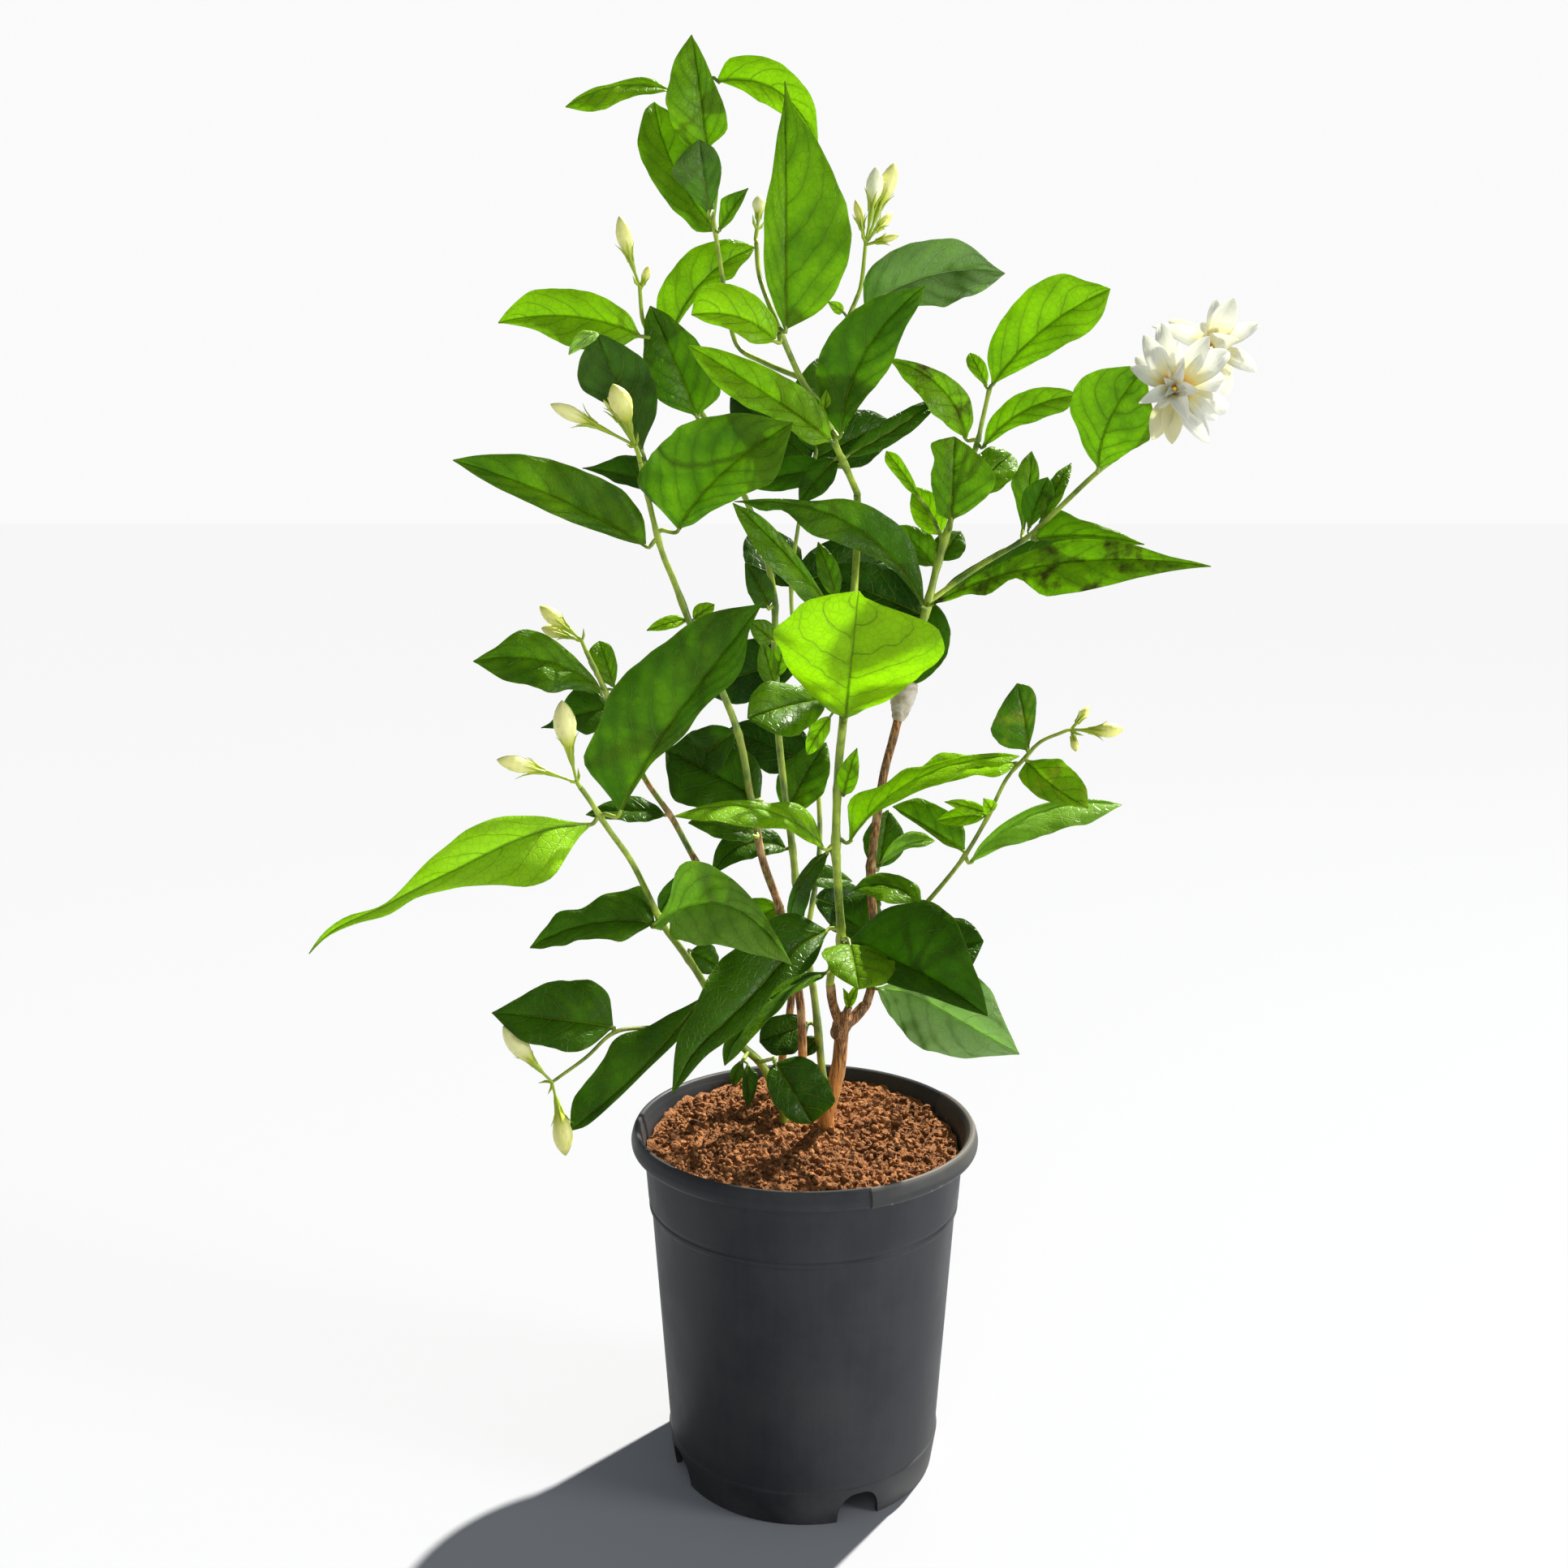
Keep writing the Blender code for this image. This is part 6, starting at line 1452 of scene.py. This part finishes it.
# The bud is painted darker along its spiral furrows.
furrow = times(tree, stretched(tree, seam, 0.55, 1.0, 0.0, 0.75), stretched(tree, ripe, 0.40, 0.55))
skin = blended(tree, furrow, skin, BUD_FURROW_DARK)
skin = blended(tree, stretched(tree, cloud, 0.60, 0.75, 0.0, 0.25), skin, BUD_LIME)
tree.links.new(skin, shader.inputs["Base Color"])
shader.inputs["Roughness"].default_value = 0.42
shader.inputs["Subsurface Weight"].default_value = 0.15
shader.inputs["Subsurface Radius"].default_value = (0.0014, 0.0014, 0.0008)
shader.inputs["Subsurface Scale"].default_value = 1.0
roughened(tree, shader, cloud, 0.25, 0.0004)


def bud_shape(fat, body):
    """(share of the length, radius in mm) from the foot of the stalk to the tip; `body` of it is the bud."""
    foot = 1 - body
    calyx = min(1.5, 0.10 * fat + 0.55)
    slim = max(0.55, 0.17 * fat)
    below = ((0.0, 0.60), (0.45, 0.64), (0.62, 0.80 * calyx), (0.74, calyx), (0.90, 1.05 * calyx),
             (0.92, slim), (1.0, slim))
    above = ((0.14, 0.31), (0.30, 0.43), (0.48, 0.50), (0.64, 0.475), (0.79, 0.37), (0.91, 0.21),
             (0.97, 0.10), (1.0, 0.02))
    return [(foot * t, r) for t, r in below] + [(foot + body * t, r * fat) for t, r in above]


def bud(base, tip, fat, white=0.0, body=0.60):
    """One bud on its stalk, from spot `base` to spot `tip`. It is `fat` mm thick and takes up `body` of that
    length, and `white` goes from cream to white."""
    a, b = spot(*base), spot(*tip)
    shape = bud_shape(fat, body)
    axis = (b - a).normalized()
    across = axis.orthogonal().normalized()
    beside = axis.cross(across)
    sag = across * (random.uniform(-0.03, 0.03) * (b - a).length)
    points, marks = [], []
    foot = 1 - body
    for i in range(BUD_STEPS + 1):
        t = i / BUD_STEPS
        k = max(n for n in range(len(shape) - 1) if shape[n][0] <= t)
        t0, t1 = shape[k][0], shape[k + 1][0]
        radius = shape[k][1] + (shape[k + 1][1] - shape[k][1]) * min(1.0, (t - t0) / (t1 - t0))
        middle = a.lerp(b, t) + sag * (4 * t * (1 - t))
        ripe = 0.40 * t / foot if t < foot else 0.40 + 0.60 * (t - foot) / body
        for j in range(BUD_SIDES):
            around = 2 * math.pi * j / BUD_SIDES
            swirl = (BUD_FURROWS * (j / BUD_SIDES + 0.45 * t)) % 1.0
            groove = max(0.0, 1 - abs(swirl - 0.5) / 0.16)
            fade = max(0.0, min(1.0, (t - foot) / 0.10, (1 - t) / 0.03))
            depth = 0.075 * groove * fade
            overlap = 0.045 * (swirl - 0.5) * fade
            out = across * math.cos(around) + beside * math.sin(around)
            points.append(middle + out * (radius * (1 - depth + overlap) * MM))
            marks.append((ripe, groove * fade, white))
    faces = ring_faces(BUD_STEPS + 1, BUD_SIDES)
    cup_at = 0.88 * foot
    cup = a.lerp(b, cup_at) + sag * (4 * cup_at * (1 - cup_at))
    for tooth in range(CALYX_TEETH):
        around = 2 * math.pi * (tooth + random.uniform(-0.15, 0.15)) / CALYX_TEETH
        out = across * math.cos(around) + beside * math.sin(around)
        start = cup + out * (0.85 * shape[4][1] * MM)
        long = min(0.0085, 0.30 * (b - a).length) * random.uniform(0.75, 1.15)
        flare = random.uniform(0.30, 0.62)
        path = [start - axis * 0.0006,
                start + axis * (0.35 * long) + out * (0.18 * long * flare),
                start + axis * (0.72 * long) + out * (0.55 * long * flare),
                start + axis * long + out * (long * flare)]
        awl = tube(path, [0.52 * MM, 0.45 * MM, 0.30 * MM, 0.07 * MM], 5)
        add_part(points, faces, awl)
        marks += [(0.36, 0.0, 0.0)] * len(awl[0])
    return points, faces, marks


def spray(name, stalk, thick, buds, on=None, after=None):
    """A spray of buds with its stalk and, where the buds fork, a pair of small bracts."""
    line = stem_line(name, stalk, on, after)
    radii = [(thick[0] + (thick[1] - thick[0]) * i / (len(line) - 1)) / 2 * MM for i in range(len(line))]
    points, faces = tube(line, radii, SPRAY_SIDES)
    marks = [(0.1, 0.0, 0.0)] * len(points)
    for row in buds:
        made = bud(*row)
        add_part(points, faces, made)
        marks += made[2]
    along = (line[-1] - line[-2]).normalized()
    for sign in (-1, 1):
        out = along.orthogonal().normalized() * sign
        path = [line[-1] - along * 0.001, line[-1] + out * 0.0022 + along * 0.001,
                line[-1] + out * 0.0036 + along * 0.0040]
        bract = tube(path, [0.6 * MM, 0.7 * MM, 0.08 * MM], 6)
        add_part(points, faces, bract)
        marks += [(0.3, 0.0, 0.0)] * len(bract[0])
    piece = new_piece(name + "_buds", points, faces, [bud_skin], 55.0)
    remember(piece, "bud", "FLOAT_VECTOR", marks)
    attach(piece, "root")
    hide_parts(name)


random.seed(52)
spray("buds_left_top", [(786, 558, -3), (782, 548, -7)], (2.2, 1.8), [
    ((782, 547, -7), (755, 473, -14), 9.6, 0.1, 0.64),
    ((782, 549, -7), (678, 498, -16), 6.2, 0.3, 0.46),
    ((781, 547, -7), (743, 492, -8), 1.8, 0.0, 0.40),
    ((781, 547, -7), (748, 489, -12), 1.6, 0.0, 0.40),
], after="left_top")
spray("buds_back_top", [(791, 390, 28), (788, 350, 24)], (2.0, 1.7), [
    ((788, 352, 24), (763, 266, 18), 6.6, 0.15, 0.58),
    ((788, 360, 25), (799, 328, 22), 3.4, 0.0),
], after="back_top")
spray("buds_top", [(1062, 345, 26), (1067, 296, 25)], (1.9, 1.6), [
    ((1067, 297, 25), (1080, 205, 20), 7.4, 1.0, 0.52),
    ((1068, 298, 25), (1103, 200, 28), 7.4, 0.2, 0.52),
    ((1066, 300, 25), (1054, 246, 26), 3.8, 0.0),
    ((1069, 296, 25), (1100, 262, 34), 3.8, 0.0),
    ((1066, 302, 25), (1108, 290, 22), 3.0, 0.0),
], after="bud_shoot")
spray("bud_behind", [(931, 294, 1), (933, 280, 2)], (1.8, 1.6), [
    ((933, 282, 2), (936, 240, 4), 6.0, 0.5),
], after="top_cane")
spray("buds_right", [(1322, 899, -25)], (1.5, 1.4), [
    ((1320, 899, -25), (1384, 899, -28), 6.4, 0.0),
    ((1320, 899, -25), (1342, 870, -20), 3.6, 0.0),
    ((1320, 899, -25), (1326, 926, -30), 3.6, 0.0),
], after="right_low")
spray("buds_left", [(710, 962, -49)], (2.0, 1.7), [
    ((711, 964, -49), (692, 863, -54), 9.4, 0.3, 0.56),
    ((712, 965, -48.6), (612, 936, -60), 6.8, 0.2, 0.50),
], after="low_cane")
spray("buds_low_left", [(678, 1335, -21)], (1.5, 1.4), [
    ((681, 1334, -21.2), (620, 1264, -28), 8.8, 0.4, 0.60),
    ((680, 1333, -20.6), (697, 1424, -26), 9.0, 0.1, 0.60),
], after="low_left")
spray("buds_rear", [(716, 788, 32)], (2.0, 1.6), [
    ((717, 789, 31.8), (665, 747, 28), 7.0, 0.0),
    ((716, 790, 32.4), (667, 774, 38), 6.0, 0.0),
], after="rear_cane")

# The two blooms: double, with four or five whorls of pointed white petals that curve back, cupped round a
# cream centre. Each stands on a short tube; old outer petals of the front one have dropped and hang, cream.
BLOOM_WHITE = (0.86, 0.87, 0.81, 1.0)
BLOOM_CREAM = (0.87, 0.84, 0.56, 1.0)
BLOOM_SHADE = (0.56, 0.58, 0.42, 1.0)
BLOOM_HEART = (0.88, 0.68, 0.15, 1.0)
PETAL_THICK = 0.35
PETAL_ROWS = 15
PETAL_COLUMNS = (-1.0, -0.8, -0.45, 0.0, 0.45, 0.8, 1.0)
BLOOM_TUBE_SIDES = 12
petal_skin, tree, shader = finish_named("petal_skin")
out_along, petal_across, aged = remembered(tree, "petal")
fine = clouds(tree, place_of(tree), 500.0, 3.0)
lines = result_of(tree, "SINE", times(tree, petal_across, 16.0))
skin = ramp_of(tree, out_along, ((0.0, BLOOM_HEART), (0.14, BLOOM_HEART), (0.24, BLOOM_CREAM),
                                 (0.50, BLOOM_WHITE)))
skin = blended(tree, stretched(tree, fine, 0.62, 0.80, 0.0, 0.20), skin, BLOOM_SHADE)
skin = blended(tree, aged, skin, BLOOM_CREAM)
skin = blended(tree, stretched(tree, fine, 0.58, 0.78, 0.0, 0.25), skin, BLOOM_CREAM)
tree.links.new(skin, shader.inputs["Base Color"])
shader.inputs["Roughness"].default_value = 0.55
relief = plus(tree, times(tree, lines, 0.5), fine)
face = roughened(tree, shader, relief, 0.30, 0.0003)
lit_through(tree, shader, skin, 0.56, face)


def petal(start, tip, facing, wide, bow, aged):
    """One pointed petal from point `start` to point `tip`, `wide` mm at its widest: two sides and a rim. It
    arches towards `facing` by `bow` of its length and cups across."""
    long = (tip - start).length
    ahead = (tip - start) / long
    over = (facing - ahead * facing.dot(ahead)).normalized()
    side = over.cross(ahead).normalized()
    lean = random.uniform(-0.25, 0.25)
    first = random.uniform(0, 2 * math.pi)
    middles = []
    for i in range(PETAL_ROWS):
        t = i / (PETAL_ROWS - 1)
        arch = 4 * t * (1 - t) * (0.75 + 0.5 * t)
        middle = start + ahead * (long * t) + over * (bow * long * arch)
        middles.append(middle + side * (0.05 * long * lean * arch))
    points, marks = [], []
    for sign in (1, -1):
        for i, middle in enumerate(middles):
            t = i / (PETAL_ROWS - 1)
            along = (middles[min(i + 1, PETAL_ROWS - 1)] - middles[max(i - 1, 0)]).normalized()
            beside = (side + over * (lean * 0.8)).normalized()
            rise = beside.cross(along).normalized()
            rise = rise if rise.dot(over) > 0 else -rise
            tapered = max(0.0, 1 - max(0.0, (t - 0.42) / 0.58) ** 1.7) ** 0.8
            half = wide / 2 * MM * (0.38 + 0.62 * math.sin(math.pi / 2 * min(1.0, t / 0.55))) * tapered
            half = max(0.08 * MM, half)
            for u in PETAL_COLUMNS:
                wave = 0.06 * half * math.sin(8 * t + first + 2.5 * u)
                crease = 0.10 * half * math.exp(-(u / 0.2) ** 2)
                p = middle + beside * (u * half) + rise * (0.34 * half * u * u + wave - crease)
                points.append(p - rise * (sign * PETAL_THICK / 2 * MM * (1 - 0.6 * abs(u))))
                marks.append((t, u, aged))
    return points, sheet_faces(PETAL_ROWS, len(PETAL_COLUMNS)), marks


def bloom(name, stalk, after, face_at, petals, inner):
    """A double bloom on its tube, facing spot `face_at`. Each of its `petals` is the spot of a tip, the
    petal's width in mm, its bow and how aged it is; `inner` small ones fill the heart."""
    line = stem_line(name, stalk, after=after)
    radii = [(1.0 + 0.7 * i / (len(line) - 1)) * MM for i in range(len(line))]
    points, faces = tube(line, radii, BLOOM_TUBE_SIDES)
    marks = [(0.2, 0.0, 0.6)] * (len(points) - BLOOM_TUBE_SIDES) + [(0.0, 0.0, 0.0)] * BLOOM_TUBE_SIDES
    centre = line[-1]
    facing = (spot(*face_at) - centre).normalized()
    first = facing.orthogonal().normalized()
    second = facing.cross(first)
    made = []
    for tip, wide, bow, aged in petals:
        start = centre + (spot(*tip) - centre).normalized() * 0.0016
        made.append(petal(start, spot(*tip), facing, wide, bow, aged))
    for k in range(inner):
        around = 2.4 * k + random.uniform(-0.3, 0.3)
        share = (k + 1) / inner
        out = first * math.cos(around) + second * math.sin(around)
        reach = out * (0.0078 * share + 0.0026) + facing * (0.0090 - 0.0040 * share)
        tip = centre + reach * random.uniform(0.8, 1.1)
        made.append(petal(centre + out * 0.0009, tip, facing - out * 0.9, 3.0 + 1.8 * share, 0.20, 0.0))
    for part in made:
        add_part(points, faces, part)
        marks += part[2]
    piece = new_piece(name + "_petals", points, faces, [petal_skin], 70.0)
    remember(piece, "petal", "FLOAT_VECTOR", marks)
    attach(piece, "root")
    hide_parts(name)


random.seed(63)
bloom("bloom_front", [(1416, 520, -60), (1438, 490, -82), (1447, 480, -92)], "flower_shoot",
      (1440, 466, -140), [
    ((1403, 497, -96), 6.2, 0.30, 0.0),
    ((1392, 451, -88), 6.6, 0.16, 0.0),
    ((1399, 440, -84), 7.4, 0.20, 0.0),
    ((1409, 413, -90), 8.6, 0.24, 0.0),
    ((1430, 398, -84), 7.6, 0.26, 0.0),
    ((1452, 420, -98), 6.6, 0.10, 0.0),
    ((1490, 414, -94), 9.2, 0.14, 0.0),
    ((1515, 434, -88), 10.0, 0.20, 0.0),
    ((1477, 482, -104), 6.0, 0.14, 0.0),
    ((1508, 470, -86), 8.4, 0.26, 0.0),
    ((1511, 506, -86), 7.6, 0.34, 0.0),
    ((1499, 517, -92), 7.0, 0.30, 0.0),
    ((1489, 546, -94), 8.4, 0.22, 0.0),
    ((1464, 519, -104), 7.0, 0.22, 0.0),
    ((1420, 542, -86), 8.8, 0.12, 0.7),
    ((1444, 547, -90), 8.6, 0.14, 0.8),
    ((1428, 504, -98), 6.4, 0.20, 0.1),
], 6)
cane("bloom_stalk", [(1362, 578, -49), (1370, 562, -36), (1398, 542, -38), (1430, 520, -44),
                     (1484, 446, -58)], (1.8, 2.0), on="flower_shoot")
bloom("bloom_back", [(1492, 430, -61)], "bloom_stalk", (1506, 405, -110), [
    ((1520, 367, -62), 10.4, 0.12, 0.0),
    ((1498, 368, -52), 6.0, 0.10, 0.0),
    ((1552, 399, -58), 6.8, 0.14, 0.0),
    ((1527, 418, -76), 9.6, 0.30, 0.2),
    ((1547, 458, -62), 7.4, 0.42, 0.0),
    ((1419, 402, -66), 7.4, 0.34, 0.0),
    ((1440, 396, -56), 7.0, 0.24, 0.2),
    ((1515, 462, -60), 7.4, 0.30, 0.4),
    ((1512, 486, -52), 7.0, 0.20, 0.3),
    ((1478, 398, -50), 7.0, 0.10, 0.1),
    ((1460, 452, -48), 8.0, 0.16, 0.3),
], 4)

# The floor and the light, which aren't part of the plant: a plain pale floor, a soft sun from behind and to
# the right that shines through the leaves, a low fill from the right, a small one from the front, and a
# pale world all round that the camera sees as white.
FLOOR_GREY = (0.360, 0.373, 0.408, 1.0)
FLOOR_R = 40.0
floor_skin, tree, shader = finish_named("studio_floor")
shader.inputs["Base Color"].default_value = FLOOR_GREY
shader.inputs["Roughness"].default_value = 1.0
shader.inputs["Specular IOR Level"].default_value = 0.0
corners = [(-FLOOR_R, -FLOOR_R, 0), (FLOOR_R, -FLOOR_R, 0), (FLOOR_R, FLOOR_R, 0), (-FLOOR_R, FLOOR_R, 0)]
floor = new_piece("studio_floor", corners, [(0, 1, 2, 3)], [floor_skin])


def soft_light(name, place, aim, size, watts):
    """A round white lamp that is `size` metres wide and faces the point `aim`."""
    lamp = bpy.data.lights.new(name, "AREA")
    lamp.shape = "DISK"
    lamp.size = size
    lamp.energy = watts
    lamp_object = bpy.data.objects.new(name, lamp)
    lamp_object.location = place
    lamp_object.rotation_euler = (Vector(aim) - Vector(place)).to_track_quat("-Z", "Y").to_euler()
    bpy.context.scene.collection.objects.link(lamp_object)


sun = bpy.data.lights.new("sun", "SUN")
sun.energy = 10.0
sun.angle = math.radians(1.6)
sun.color = (1.0, 0.96, 0.86)
sun_object = bpy.data.objects.new("sun", sun)
sun_object.rotation_euler = Vector((0.42, 0.52, 0.74)).to_track_quat("Z", "Y").to_euler()
bpy.context.scene.collection.objects.link(sun_object)
soft_light("front_fill", (-0.2, -1.8, 1.3), (0.0, 0.0, 0.3), 1.2, 3.6)
soft_light("right_fill", (2.3, -0.8, 0.5), (0.0, 0.0, 0.25), 0.9, 38.0)
world = bpy.data.worlds.new("studio")
world.use_nodes = True
tree = world.node_tree
backdrop = wired(tree, "Background", {"Color": (1.0, 1.0, 1.0, 1.0), "Strength": 0.96})
tree.nodes["Background"].inputs["Color"].default_value = (0.90, 0.95, 1.0, 1.0)
tree.nodes["Background"].inputs["Strength"].default_value = 0.24
seen = wired(tree, "LightPath", {}).outputs["Is Camera Ray"]
both = wired(tree, "MixShader", {0: seen, 1: tree.nodes["Background"].outputs[0], 2: backdrop.outputs[0]})
tree.links.new(both.outputs["Shader"], tree.nodes["World Output"].inputs["Surface"])
bpy.context.scene.world = world
